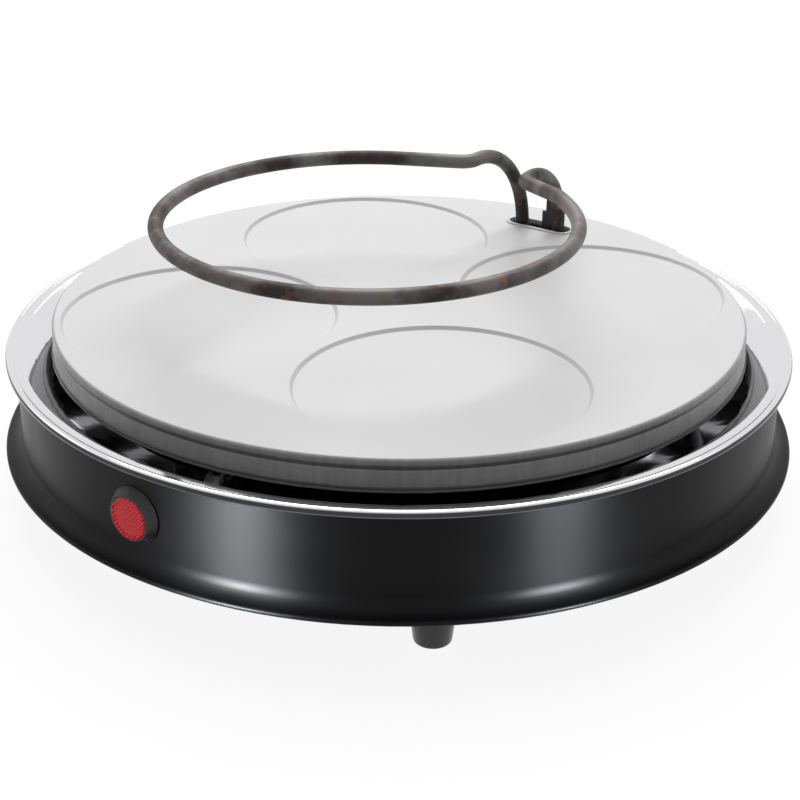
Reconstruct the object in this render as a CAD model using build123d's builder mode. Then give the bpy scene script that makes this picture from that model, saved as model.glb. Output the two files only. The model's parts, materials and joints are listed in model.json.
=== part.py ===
from build123d import *

import os
from math import cos, hypot, radians, sin, sqrt, tan

# Base unit of an electric tabletop pizza oven: a round sheet-steel housing on four feet, a
# polished pan with a rolled edge, a pressed plate with four wells for small pizzas, one
# heating loop over the plate and one under it.
# Millimetres, +Z up. The origin is on the bench, under the centre of the oven. The pilot
# lamp looks along -Y, and the element legs and the cable inlet are at the back.

os.makedirs("parts", exist_ok=True)

# Fits and cuts
push_fit = 0.05
hole_clearance = 0.3
cut_overrun = 2.0

# Feet
foot_height = 20.0
foot_bottom_radius = 7.4
foot_top_radius = 9.7
foot_edge_radius = 1.4
foot_inset = 21.8
foot_angle_from_front = 39.2
foot_pocket_radius = 4.6
foot_pocket_depth = 9.0

# Screws and nuts
foot_screw_radius = 2.0
cover_screw_radius = 1.5
flange_screw_radius = 1.5
block_screw_radius = 1.2
thermostat_screw_radius = 1.2
earth_screw_radius = 1.7
head_radius_share = 1.8
head_height_share = 1.2
nut_radius_share = 2.0
nut_height_share = 1.6
thread_beyond_nut = 1.2

# Bottom cover
cover_sheet = 1.0
cover_edge_step = 1.7
vent_count = 12
vent_length = 22.0
vent_width = 4.0
vent_circle_radius = 46.0

# Housing wall and its outturned brim
housing_radius = 166.0
housing_sheet = 1.0
housing_height = 43.4
brim_width = 7.5
brim_fillet = 6.0
brim_hem_width = 3.2

# Polished pan
pan_sheet = 0.8
pan_bead_radius = 1.8
pan_bead_overhang = 4.1
pan_bead_rise = 0.8
pan_land_width = 2.5
pan_slope_run = 22.5
pan_slope_drop = 10.6
pan_wall_run = 8.0
pan_wall_drop = 10.6
pan_land_bend = 2.0
pan_slope_bend = 4.0
pan_floor_bend = 3.0

# Tie posts between the cover and the pan
tie_post_radius = 4.0
tie_post_inset = 38.0
tie_post_count = 3
tie_post_start_angle = 90.0
tie_screw_depth = 12.0

# Baking plate
plate_radius = 150.0
plate_sheet = 1.4
plate_edge_radius = 1.4
plate_skirt_height = 13.3
plate_skirt_dip = 2.3
plate_band_height = 4.2
plate_band_step = 0.5
plate_skirt_flare = 0.8
plate_hem_height = 1.6
plate_hem_step = 0.6
well_count = 4
well_start_angle = 45.0
well_circle_radius = 87.3
well_radius = 59.3
well_depth = 1.5
well_slope_run = 1.2
collar_height = 0.9
collar_width = 1.7

# Posts that carry the baking plate
plate_post_radius = 3.5
plate_post_foot_radius = 6.0
plate_post_foot_height = 1.5
plate_post_stud_radius = 2.0
plate_post_wall_gap = 2.0
plate_post_spread_angle = 103.0
plate_seat_gap = 0.3

# Heating elements
tube_radius = 3.25
loop_radius = 88.0
loop_centre_offset = -2.0
loop_centre_setback = 21.4
loop_over_plate = 43.8
left_end_angle = 115.6
right_end_angle = 47.9
leg_spacing = 20.0
leg_wall_gap = 9.0
left_leg_bend_share = 0.898
left_sweep_bend_share = 0.155
right_arch_drop = 9.0
right_leg_bend_share = 0.768
right_sweep_bend_share = 0.495
right_dip_run = 11.5
right_dip_bend = 60.0
leg_end_below_pan = 4.2
slot_side_clearance = 1.5
slot_end_clearance = 3.25
lower_loop_radius = 90.0
lower_loop_rise = 12.0
lower_leg_angle = 120.0
lower_gap_half_angle = 14.0
lower_leg_run = 12.0
lower_leg_bend = 10.0

# Flanges, insulators and terminals of the elements
flange_sheet = 1.5
flange_width = 12.0
flange_ear = 13.0
flange_screw_inset = 5.0
insulator_radius = 3.3
insulator_length = 5.0
pin_radius = 1.3
pin_length = 3.7
blade_width = 6.3
blade_sheet = 0.8
blade_length = 9.0

# Rests under the lower element
rest_count = 3
rest_start_angle = 300.0
rest_width = 8.0
rest_length = 12.0

# Steel bracket between the upper legs, with a tongue through the plate's slot
bracket_sheet = 1.2
bracket_width = 12.4
bracket_foot_depth = 6.5
bracket_shoulder_drop = 1.3
tongue_width = 4.8
tongue_rise = 8.5
tongue_tip_width = 2.8
tongue_tip_rise = 7.5

# Pilot lamp
lamp_height = 44.0
lamp_angle = 268.0
bezel_radius = 11.7
bezel_front_radius = 9.4
bezel_rise = 4.0
bezel_barrel_radius = 9.0
bezel_barrel_length = 15.0
lens_radius = 8.4
lens_depth = 3.0
lens_proud = 0.5
lens_edge_radius = 0.4
lamp_bore_radius = 7.2
bulb_radius = 3.0
bulb_length = 7.0
socket_length = 4.0
lamp_pin_radius = 0.8
lamp_pin_length = 3.0
lamp_pin_spacing = 5.0
clip_radius = 12.5
clip_sheet = 0.8

# Cable gland
gland_angle = 66.0
gland_height = 40.0
gland_flange_radius = 9.0
gland_flange_rise = 3.0
gland_body_radius = 6.4
gland_body_length = 14.0
gland_bore_radius = 3.7
gland_nut_radius = 10.0
gland_nut_length = 4.0

# Terminal block
block_depth = 18.0
block_length = 34.0
block_height = 14.0
block_inset = 53.0
pole_spacing = 10.0
pole_radius = 1.6
pole_depth = 5.0

# Snap-disc thermostat under the pan
thermostat_x = 18.0
thermostat_y = 32.0
thermostat_radius = 8.0
thermostat_height = 8.0
thermostat_flange_length = 29.0
thermostat_flange_width = 11.0
thermostat_flange_sheet = 1.0
thermostat_screw_spacing = 21.6
thermostat_pin_spacing = 10.0

# Earth tag under the pan
earth_x = 26.0
earth_y = 72.0
tag_radius = 3.6
tag_sheet = 0.8
tag_length = 9.0
tag_tail_width = 3.0

# Insulated leads
lead_radius = 1.2
lead_exit_run = 12.0
lead_short_run = 5.0
lead_seat_gap = 1.0
lamp_lead_inset = 32.0
lamp_lead_offset = 4.0
lamp_lead_angles = (300.0, 330.0, 0.0, 27.0, 48.0)
return_lead_x = 22.0
return_lead_y = 4.0
return_lead_far_x = 58.0
return_lead_far_y = 46.0

# Heights and radii that follow
cover_top = foot_height + cover_sheet
brim_radius = housing_radius + brim_width
brim_top = cover_top + 2 * housing_sheet
housing_top = cover_top + housing_height
housing_inner_radius = housing_radius - housing_sheet
land_top = housing_top + pan_sheet
bead_circle_radius = housing_radius + pan_bead_overhang - pan_bead_radius
bead_height = land_top + pan_bead_rise - pan_bead_radius
land_inner_radius = housing_radius - pan_land_width
slope_inner_radius = land_inner_radius - pan_slope_run
slope_bottom = land_top - pan_slope_drop
pan_floor_radius = slope_inner_radius - pan_wall_run
floor_top = slope_bottom - pan_wall_drop
floor_underside = floor_top - pan_sheet
cover_radius = brim_radius - cover_edge_step
foot_circle_radius = cover_radius - foot_inset
tie_post_circle_radius = pan_floor_radius - tie_post_inset
plate_post_circle_radius = pan_floor_radius - plate_post_foot_radius - plate_post_wall_gap
leg_circle_radius = pan_floor_radius - leg_wall_gap
block_circle_radius = housing_inner_radius - block_inset
lamp_lead_radius = housing_inner_radius - lamp_lead_inset
skirt_bottom = land_top - plate_skirt_dip
plate_top = skirt_bottom + plate_skirt_height
plate_underside = plate_top - plate_sheet
loop_height = plate_top + loop_over_plate
leg_x = leg_spacing / 2
leg_end = floor_underside - leg_end_below_pan
slot_width = 2 * (tube_radius + slot_side_clearance)
slot_length = leg_spacing + 2 * (tube_radius + slot_end_clearance)
flange_top = floor_top + flange_sheet
lower_loop_height = floor_top + lower_loop_rise
pin_top = leg_end - insulator_length


def polar(radius, turn):
    """The point at a radius and a turn, in degrees from +X, about the oven's centre."""
    return radius * cos(radians(turn)), radius * sin(radians(turn))


def wall_plane(turn, height):
    """A plane on the housing's outside that faces outwards, with its Y axis up."""
    x, y = polar(housing_radius, turn)
    across = (-sin(radians(turn)), cos(radians(turn)), 0)
    outwards = (cos(radians(turn)), sin(radians(turn)), 0)
    return Plane(origin=(x, y, height), x_dir=across, z_dir=outwards)


def depth_inside_wall(radius):
    """How far in from the housing's outside a flat ring of this radius seats inside it."""
    return housing_radius - sqrt(housing_inner_radius**2 - radius**2) + push_fit


def along(start, heading, run):
    """The point a run away from a start, in the plan direction of a heading in degrees."""
    x = start[0] + run * cos(radians(heading))
    y = start[1] + run * sin(radians(heading))
    return x, y


def screw(x, y, seat, shank, radius, head_up):
    """Add a round-head screw whose head bears on a seat height, its shank going the other way."""
    head_side = Align.MIN if head_up else Align.MAX
    shank_side = Align.MAX if head_up else Align.MIN
    with Locations((x, y, seat)):
        Cylinder(
            radius * head_radius_share,
            radius * head_height_share,
            align=(Align.CENTER, Align.CENTER, head_side),
        )
        Cylinder(radius, shank, align=(Align.CENTER, Align.CENTER, shank_side))


def nut(x, y, bottom, radius):
    """Add a hexagon nut for a screw of this radius."""
    with BuildSketch(Plane.XY.offset(bottom)) as hexagon:
        with Locations((x, y)):
            RegularPolygon(radius * nut_radius_share, 6)
            Circle(radius + push_fit, mode=Mode.SUBTRACT)
    extrude(hexagon.sketch, amount=radius * nut_height_share)


def drill(x, y, bottom, radius, length):
    """Cut a round hole upwards from a height."""
    with Locations((x, y, bottom)):
        Cylinder(
            radius,
            length,
            align=(Align.CENTER, Align.CENTER, Align.MIN),
            mode=Mode.SUBTRACT,
        )


def terminal(x, y, top, heading):
    """Add a pin that hangs from a height and the flat blade that turns off it."""
    with Locations((x, y, top)):
        Cylinder(pin_radius, pin_length, align=(Align.CENTER, Align.CENTER, Align.MAX))
    with Locations(Location((x, y, top - pin_length), (0, 0, heading))):
        Box(
            blade_length,
            blade_width,
            blade_sheet,
            align=(Align.MIN, Align.CENTER, Align.MAX),
        )
        Cylinder(
            blade_width / 2, blade_sheet, align=(Align.CENTER, Align.CENTER, Align.MAX)
        )


def easy_bends(points):
    """Bend radii for a lead's corners, each as large as the shorter of its two runs allows."""
    radii = []
    for before, corner, after in zip(points, points[1:], points[2:]):
        run_in = Vector(*corner) - Vector(*before)
        run_out = Vector(*after) - Vector(*corner)
        half_turn = radians(run_in.get_angle(run_out)) / 2
        radii.append(0.45 * min(run_in.length, run_out.length) / tan(half_turn))
    return radii


def round_bar(points, bends, radius):
    """Add a round bar along straight runs joined by bends."""
    with BuildLine() as route:
        FilletPolyline(*points, radius=bends)
    with BuildSketch(Plane(origin=route.line @ 0, z_dir=route.line % 0)) as section:
        Circle(radius)
    sweep(section.sketch, path=route.line)


# Where the legs, posts, screws and poles stand, in plan

loop_centre = (loop_centre_offset, -loop_centre_setback)
left_loop_end = along(loop_centre, left_end_angle, loop_radius)
right_loop_end = along(loop_centre, right_end_angle, loop_radius)
lower_leg_places = []
for side in (-1, 1):
    end_turn = lower_leg_angle + side * lower_gap_half_angle
    lower_leg_places.append(
        along(polar(lower_loop_radius, end_turn), end_turn - side * 90, lower_leg_run)
    )
lower_leg_spacing = hypot(
    lower_leg_places[1][0] - lower_leg_places[0][0],
    lower_leg_places[1][1] - lower_leg_places[0][1],
)
lower_flange_place = (
    (lower_leg_places[0][0] + lower_leg_places[1][0]) / 2,
    (lower_leg_places[0][1] + lower_leg_places[1][1]) / 2,
)
upper_leg_places = [(-leg_x, leg_circle_radius), (leg_x, leg_circle_radius)]
upper_screw_reach = leg_x + flange_ear - flange_screw_inset
upper_flange_screw_places = [
    (-upper_screw_reach, leg_circle_radius),
    (upper_screw_reach, leg_circle_radius),
]
lower_screw_reach = lower_leg_spacing / 2 + flange_ear - flange_screw_inset
lower_flange_screw_places = [
    along(lower_flange_place, lower_leg_angle + 90, lower_screw_reach),
    along(lower_flange_place, lower_leg_angle - 90, lower_screw_reach),
]
plate_post_angles = (270.0, 270.0 + plate_post_spread_angle, 270.0 - plate_post_spread_angle)
plate_post_places = [polar(plate_post_circle_radius, turn) for turn in plate_post_angles]
tie_post_places = [
    polar(tie_post_circle_radius, tie_post_start_angle + 360 * index / tie_post_count)
    for index in range(tie_post_count)
]
foot_angles = {
    "foot_front_left": 270 - foot_angle_from_front,
    "foot_front_right": 270 + foot_angle_from_front,
    "foot_rear_left": 90 + foot_angle_from_front,
    "foot_rear_right": 90 - foot_angle_from_front,
}
foot_places = {name: polar(foot_circle_radius, turn) for name, turn in foot_angles.items()}
block_centre = polar(block_circle_radius, gland_angle)
block_screw_places = [
    along(block_centre, gland_angle + 90, pole_spacing / 2),
    along(block_centre, gland_angle - 90, pole_spacing / 2),
]
thermostat_screw_places = [
    (thermostat_x - thermostat_screw_spacing / 2, thermostat_y),
    (thermostat_x + thermostat_screw_spacing / 2, thermostat_y),
]
thermostat_pin_places = [
    (thermostat_x - thermostat_pin_spacing / 2, thermostat_y),
    (thermostat_x + thermostat_pin_spacing / 2, thermostat_y),
]


# Housing: a drawn sheet cylinder with an outturned, hemmed brim

with BuildPart() as housing_wall:
    with BuildSketch(Plane.XZ):
        with BuildLine():
            FilletPolyline(
                (housing_radius, housing_top),
                (housing_radius, brim_top),
                (brim_radius, brim_top),
                radius=(brim_fillet,),
            )
            offset(amount=housing_sheet, side=Side.RIGHT)
        make_face()
        with Locations((brim_radius, cover_top)):
            Rectangle(brim_hem_width, 2 * housing_sheet, align=(Align.MAX, Align.MIN))
    revolve(axis=Axis.Z)
    with BuildSketch(wall_plane(lamp_angle, lamp_height)):
        Circle(bezel_barrel_radius + push_fit)
    extrude(amount=-bezel_barrel_length, mode=Mode.SUBTRACT)
    with BuildSketch(wall_plane(gland_angle, gland_height)):
        Circle(gland_body_radius + push_fit)
    extrude(amount=-gland_body_length, mode=Mode.SUBTRACT)
housing_wall.part.label = "housing_wall"
export_step(housing_wall.part, "parts/housing_wall.step")


# Bottom cover: a disc under the brim, with air slots round its middle

with BuildPart() as bottom_cover:
    with BuildSketch(Plane.XY.offset(foot_height)):
        Circle(cover_radius)
        with PolarLocations(vent_circle_radius, vent_count):
            SlotOverall(vent_length, vent_width, mode=Mode.SUBTRACT)
        with Locations(*foot_places.values()):
            Circle(foot_screw_radius + hole_clearance, mode=Mode.SUBTRACT)
        with Locations(*tie_post_places):
            Circle(cover_screw_radius + hole_clearance, mode=Mode.SUBTRACT)
        with Locations(*block_screw_places):
            Circle(block_screw_radius + hole_clearance, mode=Mode.SUBTRACT)
    extrude(amount=cover_sheet)
bottom_cover.part.label = "bottom_cover"
export_step(bottom_cover.part, "parts/bottom_cover.step")


# Pan: polished sheet with a rolled edge, a flat land on the housing and a dished floor

with BuildPart() as reflector_pan:
    with BuildSketch(Plane.XZ):
        with BuildLine():
            FilletPolyline(
                (bead_circle_radius, land_top),
                (land_inner_radius, land_top),
                (slope_inner_radius, slope_bottom),
                (pan_floor_radius, floor_top),
                (0, floor_top),
                radius=(pan_land_bend, pan_slope_bend, pan_floor_bend),
            )
            offset(amount=pan_sheet, side=Side.LEFT)
        make_face()
        with Locations((bead_circle_radius, bead_height)):
            Circle(pan_bead_radius)
    revolve(axis=Axis.Z)
    for x, y in upper_leg_places + lower_leg_places:
        drill(x, y, floor_underside - push_fit, tube_radius + hole_clearance, cut_overrun)
    for x, y in plate_post_places:
        drill(x, y, floor_underside - push_fit, plate_post_stud_radius + push_fit, cut_overrun)
    for x, y in upper_flange_screw_places + lower_flange_screw_places:
        drill(x, y, floor_underside - push_fit, flange_screw_radius + push_fit, cut_overrun)
    for x, y in thermostat_screw_places:
        drill(x, y, floor_underside - push_fit, thermostat_screw_radius + push_fit, cut_overrun)
    drill(earth_x, earth_y, floor_underside - push_fit, earth_screw_radius + push_fit, cut_overrun)
reflector_pan.part.label = "reflector_pan"
export_step(reflector_pan.part, "parts/reflector_pan.step")


# Tie posts: they hold the cover up against the pan, each with a tapped hole from below

with BuildPart() as tie_posts:
    with BuildSketch(Plane.XY.offset(cover_top)):
        with Locations(*tie_post_places):
            Circle(tie_post_radius)
    extrude(amount=floor_underside - cover_top)
    for x, y in tie_post_places:
        drill(x, y, cover_top, cover_screw_radius + push_fit, tie_screw_depth)
tie_posts.part.label = "tie_posts"
export_step(tie_posts.part, "parts/tie_posts.step")

with BuildPart() as cover_screws:
    for x, y in tie_post_places:
        screw(
            x,
            y,
            foot_height,
            cover_sheet + tie_screw_depth - thread_beyond_nut,
            cover_screw_radius,
            False,
        )
cover_screws.part.label = "cover_screws"
export_step(cover_screws.part, "parts/cover_screws.step")


# Feet: moulded cones, screwed on from inside a pocket in their undersides

for name, (foot_x, foot_y) in foot_places.items():
    with BuildPart() as foot:
        with Locations((foot_x, foot_y, 0)):
            Cone(
                foot_bottom_radius,
                foot_top_radius,
                foot_height,
                align=(Align.CENTER, Align.CENTER, Align.MIN),
            )
        fillet(foot.edges().filter_by(GeomType.CIRCLE).sort_by(Axis.Z)[0], foot_edge_radius)
        drill(foot_x, foot_y, 0, foot_pocket_radius, foot_pocket_depth)
        drill(foot_x, foot_y, 0, foot_screw_radius + push_fit, foot_height)
    foot.part.label = name
    export_step(foot.part, f"parts/{name}.step")

foot_nut_height = foot_screw_radius * nut_height_share
foot_screw_length = (
    foot_height - foot_pocket_depth + cover_sheet + foot_nut_height + thread_beyond_nut
)
with BuildPart() as foot_screws:
    for x, y in foot_places.values():
        screw(x, y, foot_pocket_depth, foot_screw_length, foot_screw_radius, False)
foot_screws.part.label = "foot_screws"
export_step(foot_screws.part, "parts/foot_screws.step")

with BuildPart() as foot_nuts:
    for x, y in foot_places.values():
        nut(x, y, cover_top, foot_screw_radius)
foot_nuts.part.label = "foot_nuts"
export_step(foot_nuts.part, "parts/foot_nuts.step")


# Baking plate: a pressed disc with a stepped skirt, four wells and a raised slot at the back

skirt_top_radius = plate_radius - plate_band_step
skirt_end_radius = skirt_top_radius + plate_skirt_flare
hem_radius = skirt_end_radius + plate_hem_step
band_bottom = plate_top - plate_band_height
hem_top = skirt_bottom + plate_hem_height

with BuildPart() as baking_plate:
    with BuildSketch(Plane.XZ):
        with BuildLine():
            band = FilletPolyline(
                (0, plate_top),
                (plate_radius, plate_top),
                (plate_radius, band_bottom),
                radius=(plate_edge_radius,),
            )
            skirt = Polyline(
                band @ 1,
                (skirt_top_radius, band_bottom - plate_band_step),
                (skirt_end_radius, hem_top + plate_hem_step),
                (hem_radius, hem_top),
                (hem_radius, skirt_bottom),
                (skirt_end_radius - plate_sheet, skirt_bottom),
            )
            Polyline(
                skirt @ 1,
                (skirt_top_radius - plate_sheet, plate_underside),
                (0, plate_underside),
                band @ 0,
            )
        make_face()
    revolve(axis=Axis.Z)
    with PolarLocations(well_circle_radius, well_count, start_angle=well_start_angle):
        with Locations((0, 0, plate_underside - well_depth)):
            Cone(
                well_radius - well_slope_run,
                well_radius,
                well_depth,
                align=(Align.CENTER, Align.CENTER, Align.MIN),
            )
        with Locations((0, 0, plate_top - well_depth)):
            Cone(
                well_radius - well_slope_run,
                well_radius,
                well_depth,
                align=(Align.CENTER, Align.CENTER, Align.MIN),
                mode=Mode.SUBTRACT,
            )
    with BuildSketch(Plane.XY.offset(plate_underside)):
        with Locations((0, leg_circle_radius)):
            SlotOverall(slot_length + 2 * collar_width, slot_width + 2 * collar_width)
    extrude(amount=plate_sheet + collar_height)
    with BuildSketch(Plane.XY.offset(plate_underside)):
        with Locations((0, leg_circle_radius)):
            SlotOverall(slot_length, slot_width)
    extrude(amount=plate_sheet + collar_height, mode=Mode.SUBTRACT)
baking_plate.part.label = "baking_plate"
export_step(baking_plate.part, "parts/baking_plate.step")


# Plate posts: turned posts bolted through the pan floor

with BuildPart() as plate_posts:
    stud_length = pan_sheet + plate_post_stud_radius * nut_height_share + thread_beyond_nut
    with BuildSketch(Plane.XY.offset(floor_top)):
        with Locations(*plate_post_places):
            Circle(plate_post_foot_radius)
    extrude(amount=plate_post_foot_height)
    with BuildSketch(Plane.XY.offset(floor_top)):
        with Locations(*plate_post_places):
            Circle(plate_post_radius)
    extrude(amount=plate_underside - plate_seat_gap - floor_top)
    with BuildSketch(Plane.XY.offset(floor_top - stud_length)):
        with Locations(*plate_post_places):
            Circle(plate_post_stud_radius)
    extrude(amount=stud_length)
plate_posts.part.label = "plate_posts"
export_step(plate_posts.part, "parts/plate_posts.step")

with BuildPart() as post_nuts:
    for x, y in plate_post_places:
        nut_bottom = floor_underside - plate_post_stud_radius * nut_height_share
        nut(x, y, nut_bottom, plate_post_stud_radius)
post_nuts.part.label = "post_nuts"
export_step(post_nuts.part, "parts/post_nuts.step")


# Upper element: a round loop over the plate; its legs bend down and pass through the slot

left_heading_angle = left_end_angle - 90
left_bend_run = (-leg_x - left_loop_end[0]) / cos(radians(left_heading_angle))
left_bend_point = along(left_loop_end, left_heading_angle, left_bend_run)
right_heading_angle = right_end_angle + 90
right_bend_run = (leg_x - right_loop_end[0]) / cos(radians(right_heading_angle))
right_bend_point = along(right_loop_end, right_heading_angle, right_bend_run)
right_dip_point = along(right_loop_end, right_heading_angle, right_dip_run)
right_leg_top = loop_height - right_arch_drop
left_leg_run = leg_circle_radius - left_bend_point[1]
right_leg_run = leg_circle_radius - right_bend_point[1]

with BuildPart() as upper_heating_element:
    with BuildLine() as upper_route:
        left_leg = FilletPolyline(
            (*upper_leg_places[0], leg_end),
            (*upper_leg_places[0], loop_height),
            (*left_bend_point, loop_height),
            (*left_loop_end, loop_height),
            radius=(left_leg_bend_share * left_leg_run, left_sweep_bend_share * left_leg_run),
        )
        right_leg = FilletPolyline(
            (*right_loop_end, loop_height),
            (*right_dip_point, loop_height),
            (*right_bend_point, right_leg_top),
            (*upper_leg_places[1], right_leg_top),
            (*upper_leg_places[1], leg_end),
            radius=(
                right_dip_bend,
                right_sweep_bend_share * right_leg_run,
                right_leg_bend_share * right_leg_run,
            ),
        )
        ThreePointArc(
            left_leg @ 1,
            (loop_centre_offset, -loop_centre_setback - loop_radius, loop_height),
            right_leg @ 0,
        )
    with BuildSketch(Plane.XY.offset(leg_end)):
        with Locations(upper_leg_places[0]):
            Circle(tube_radius)
    sweep(path=upper_route.line)
upper_heating_element.part.label = "upper_heating_element"
export_step(upper_heating_element.part, "parts/upper_heating_element.step")


# Lower element: a round loop between the pan floor and the plate

lower_loop_ends = [
    polar(lower_loop_radius, lower_leg_angle - lower_gap_half_angle),
    polar(lower_loop_radius, lower_leg_angle + lower_gap_half_angle),
]
with BuildPart() as lower_heating_element:
    with BuildLine() as lower_route:
        first_leg = FilletPolyline(
            (*lower_leg_places[0], leg_end),
            (*lower_leg_places[0], lower_loop_height),
            (*lower_loop_ends[0], lower_loop_height),
            radius=(lower_leg_bend,),
        )
        last_leg = FilletPolyline(
            (*lower_loop_ends[1], lower_loop_height),
            (*lower_leg_places[1], lower_loop_height),
            (*lower_leg_places[1], leg_end),
            radius=(lower_leg_bend,),
        )
        ThreePointArc(
            first_leg @ 1,
            (*polar(lower_loop_radius, lower_leg_angle + 180), lower_loop_height),
            last_leg @ 0,
        )
    with BuildSketch(Plane.XY.offset(leg_end)):
        with Locations(lower_leg_places[0]):
            Circle(tube_radius)
    sweep(path=lower_route.line)
lower_heating_element.part.label = "lower_heating_element"
export_step(lower_heating_element.part, "parts/lower_heating_element.step")


# Flanges: oblong plates that hold each pair of legs to the pan floor

with BuildPart() as upper_element_flange:
    with BuildSketch(Plane.XY.offset(floor_top)):
        with Locations((0, leg_circle_radius)):
            SlotOverall(leg_spacing + 2 * flange_ear, flange_width)
        with Locations(*upper_leg_places):
            Circle(tube_radius + push_fit, mode=Mode.SUBTRACT)
        with Locations(*upper_flange_screw_places):
            Circle(flange_screw_radius + push_fit, mode=Mode.SUBTRACT)
    extrude(amount=flange_sheet)
upper_element_flange.part.label = "upper_element_flange"
export_step(upper_element_flange.part, "parts/upper_element_flange.step")

with BuildPart() as lower_element_flange:
    with BuildSketch(Plane.XY.offset(floor_top)):
        with Locations(Location((*lower_flange_place, 0), (0, 0, lower_leg_angle - 90))):
            SlotOverall(lower_leg_spacing + 2 * flange_ear, flange_width)
        with Locations(*lower_leg_places):
            Circle(tube_radius + push_fit, mode=Mode.SUBTRACT)
        with Locations(*lower_flange_screw_places):
            Circle(flange_screw_radius + push_fit, mode=Mode.SUBTRACT)
    extrude(amount=flange_sheet)
lower_element_flange.part.label = "lower_element_flange"
export_step(lower_element_flange.part, "parts/lower_element_flange.step")

flange_nut_height = flange_screw_radius * nut_height_share
flange_screw_length = flange_sheet + pan_sheet + flange_nut_height + thread_beyond_nut
with BuildPart() as flange_screws:
    for x, y in upper_flange_screw_places + lower_flange_screw_places:
        screw(x, y, flange_top, flange_screw_length, flange_screw_radius, True)
flange_screws.part.label = "flange_screws"
export_step(flange_screws.part, "parts/flange_screws.step")

with BuildPart() as flange_nuts:
    for x, y in upper_flange_screw_places + lower_flange_screw_places:
        nut(x, y, floor_underside - flange_nut_height, flange_screw_radius)
flange_nuts.part.label = "flange_nuts"
export_step(flange_nuts.part, "parts/flange_nuts.step")


# Insulators and blade terminals at the ends of the legs

with BuildPart() as element_insulators:
    with BuildSketch(Plane.XY.offset(pin_top)):
        with Locations(*upper_leg_places, *lower_leg_places):
            Circle(insulator_radius)
    extrude(amount=insulator_length)
element_insulators.part.label = "element_insulators"
export_step(element_insulators.part, "parts/element_insulators.step")

with BuildPart() as element_terminals:
    for x, y in upper_leg_places:
        terminal(x, y, pin_top, -90)
    for x, y in lower_leg_places:
        terminal(x, y, pin_top, lower_leg_angle + 180)
element_terminals.part.label = "element_terminals"
export_step(element_terminals.part, "parts/element_terminals.step")


# Saddles that carry the lower element

with BuildPart() as element_rests:
    with PolarLocations(lower_loop_radius, rest_count, start_angle=rest_start_angle):
        with Locations((0, 0, floor_top)):
            Box(
                rest_length,
                rest_width,
                lower_loop_rise - tube_radius / 2,
                align=(Align.CENTER, Align.CENTER, Align.MIN),
            )
    with Locations((0, 0, lower_loop_height)):
        Torus(lower_loop_radius, tube_radius + push_fit, mode=Mode.SUBTRACT)
element_rests.part.label = "element_rests"
export_step(element_rests.part, "parts/element_rests.step")


# Bracket between the upper legs: a bent sheet whose tongue shows above the slot

with BuildPart() as element_bracket:
    bracket_back = leg_circle_radius + bracket_sheet / 2
    with Locations((0, bracket_back, flange_top)):
        Box(
            bracket_width,
            bracket_foot_depth,
            bracket_sheet,
            align=(Align.CENTER, Align.MAX, Align.MIN),
        )
        Box(
            bracket_width,
            bracket_sheet,
            plate_underside - bracket_shoulder_drop - flange_top,
            align=(Align.CENTER, Align.MAX, Align.MIN),
        )
    with Locations((bracket_width / 2, bracket_back, flange_top)):
        for width, rise in (
            (tongue_width, tongue_rise),
            (tongue_tip_width, tongue_rise + tongue_tip_rise),
        ):
            Box(
                width,
                bracket_sheet,
                plate_top + rise - flange_top,
                align=(Align.MAX, Align.MAX, Align.MIN),
            )
element_bracket.part.label = "element_bracket"
export_step(element_bracket.part, "parts/element_bracket.step")


# Pilot lamp: a conical bezel with a barrel through the wall, a lens, a bulb and a clip

lamp_face = wall_plane(lamp_angle, lamp_height)
lens_back = bezel_rise + lens_proud - lens_depth
socket_front = -bezel_barrel_length + socket_length
lamp_pin_places = [(-lamp_pin_spacing / 2, 0), (lamp_pin_spacing / 2, 0)]

with BuildPart() as lamp_bezel:
    with BuildSketch(lamp_face.offset(push_fit)):
        Circle(bezel_radius)
    with BuildSketch(lamp_face.offset(bezel_rise)):
        Circle(bezel_front_radius)
    loft()
    with BuildSketch(lamp_face.offset(-bezel_barrel_length)):
        Circle(bezel_barrel_radius)
    extrude(amount=bezel_barrel_length + push_fit)
    with BuildSketch(lamp_face.offset(socket_front)):
        Circle(lamp_bore_radius)
    extrude(amount=bezel_rise - socket_front, mode=Mode.SUBTRACT)
    with BuildSketch(lamp_face.offset(lens_back)):
        Circle(lens_radius + push_fit)
    extrude(amount=lens_depth, mode=Mode.SUBTRACT)
    with BuildSketch(lamp_face.offset(-bezel_barrel_length)):
        with Locations(*lamp_pin_places):
            Circle(lamp_pin_radius + push_fit)
    extrude(amount=socket_length, mode=Mode.SUBTRACT)
lamp_bezel.part.label = "lamp_bezel"
export_step(lamp_bezel.part, "parts/lamp_bezel.step")

with BuildPart() as lamp_lens:
    with BuildSketch(lamp_face.offset(lens_back)):
        Circle(lens_radius)
    extrude(amount=lens_depth)
    fillet(lamp_lens.edges().sort_by(Axis.Y)[0], lens_edge_radius)
lamp_lens.part.label = "lamp_lens"
export_step(lamp_lens.part, "parts/lamp_lens.step")

with BuildPart() as lamp_bulb:
    with BuildSketch(lamp_face.offset(socket_front + push_fit)):
        Circle(bulb_radius)
    extrude(amount=bulb_length)
    fillet(lamp_bulb.edges().sort_by(Axis.Y)[0], bulb_radius / 2)
lamp_bulb.part.label = "lamp_bulb"
export_step(lamp_bulb.part, "parts/lamp_bulb.step")

with BuildPart() as lamp_pins:
    with BuildSketch(lamp_face.offset(-bezel_barrel_length - lamp_pin_length)):
        with Locations(*lamp_pin_places):
            Circle(lamp_pin_radius)
    extrude(amount=lamp_pin_length + socket_length)
lamp_pins.part.label = "lamp_pins"
export_step(lamp_pins.part, "parts/lamp_pins.step")

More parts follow.
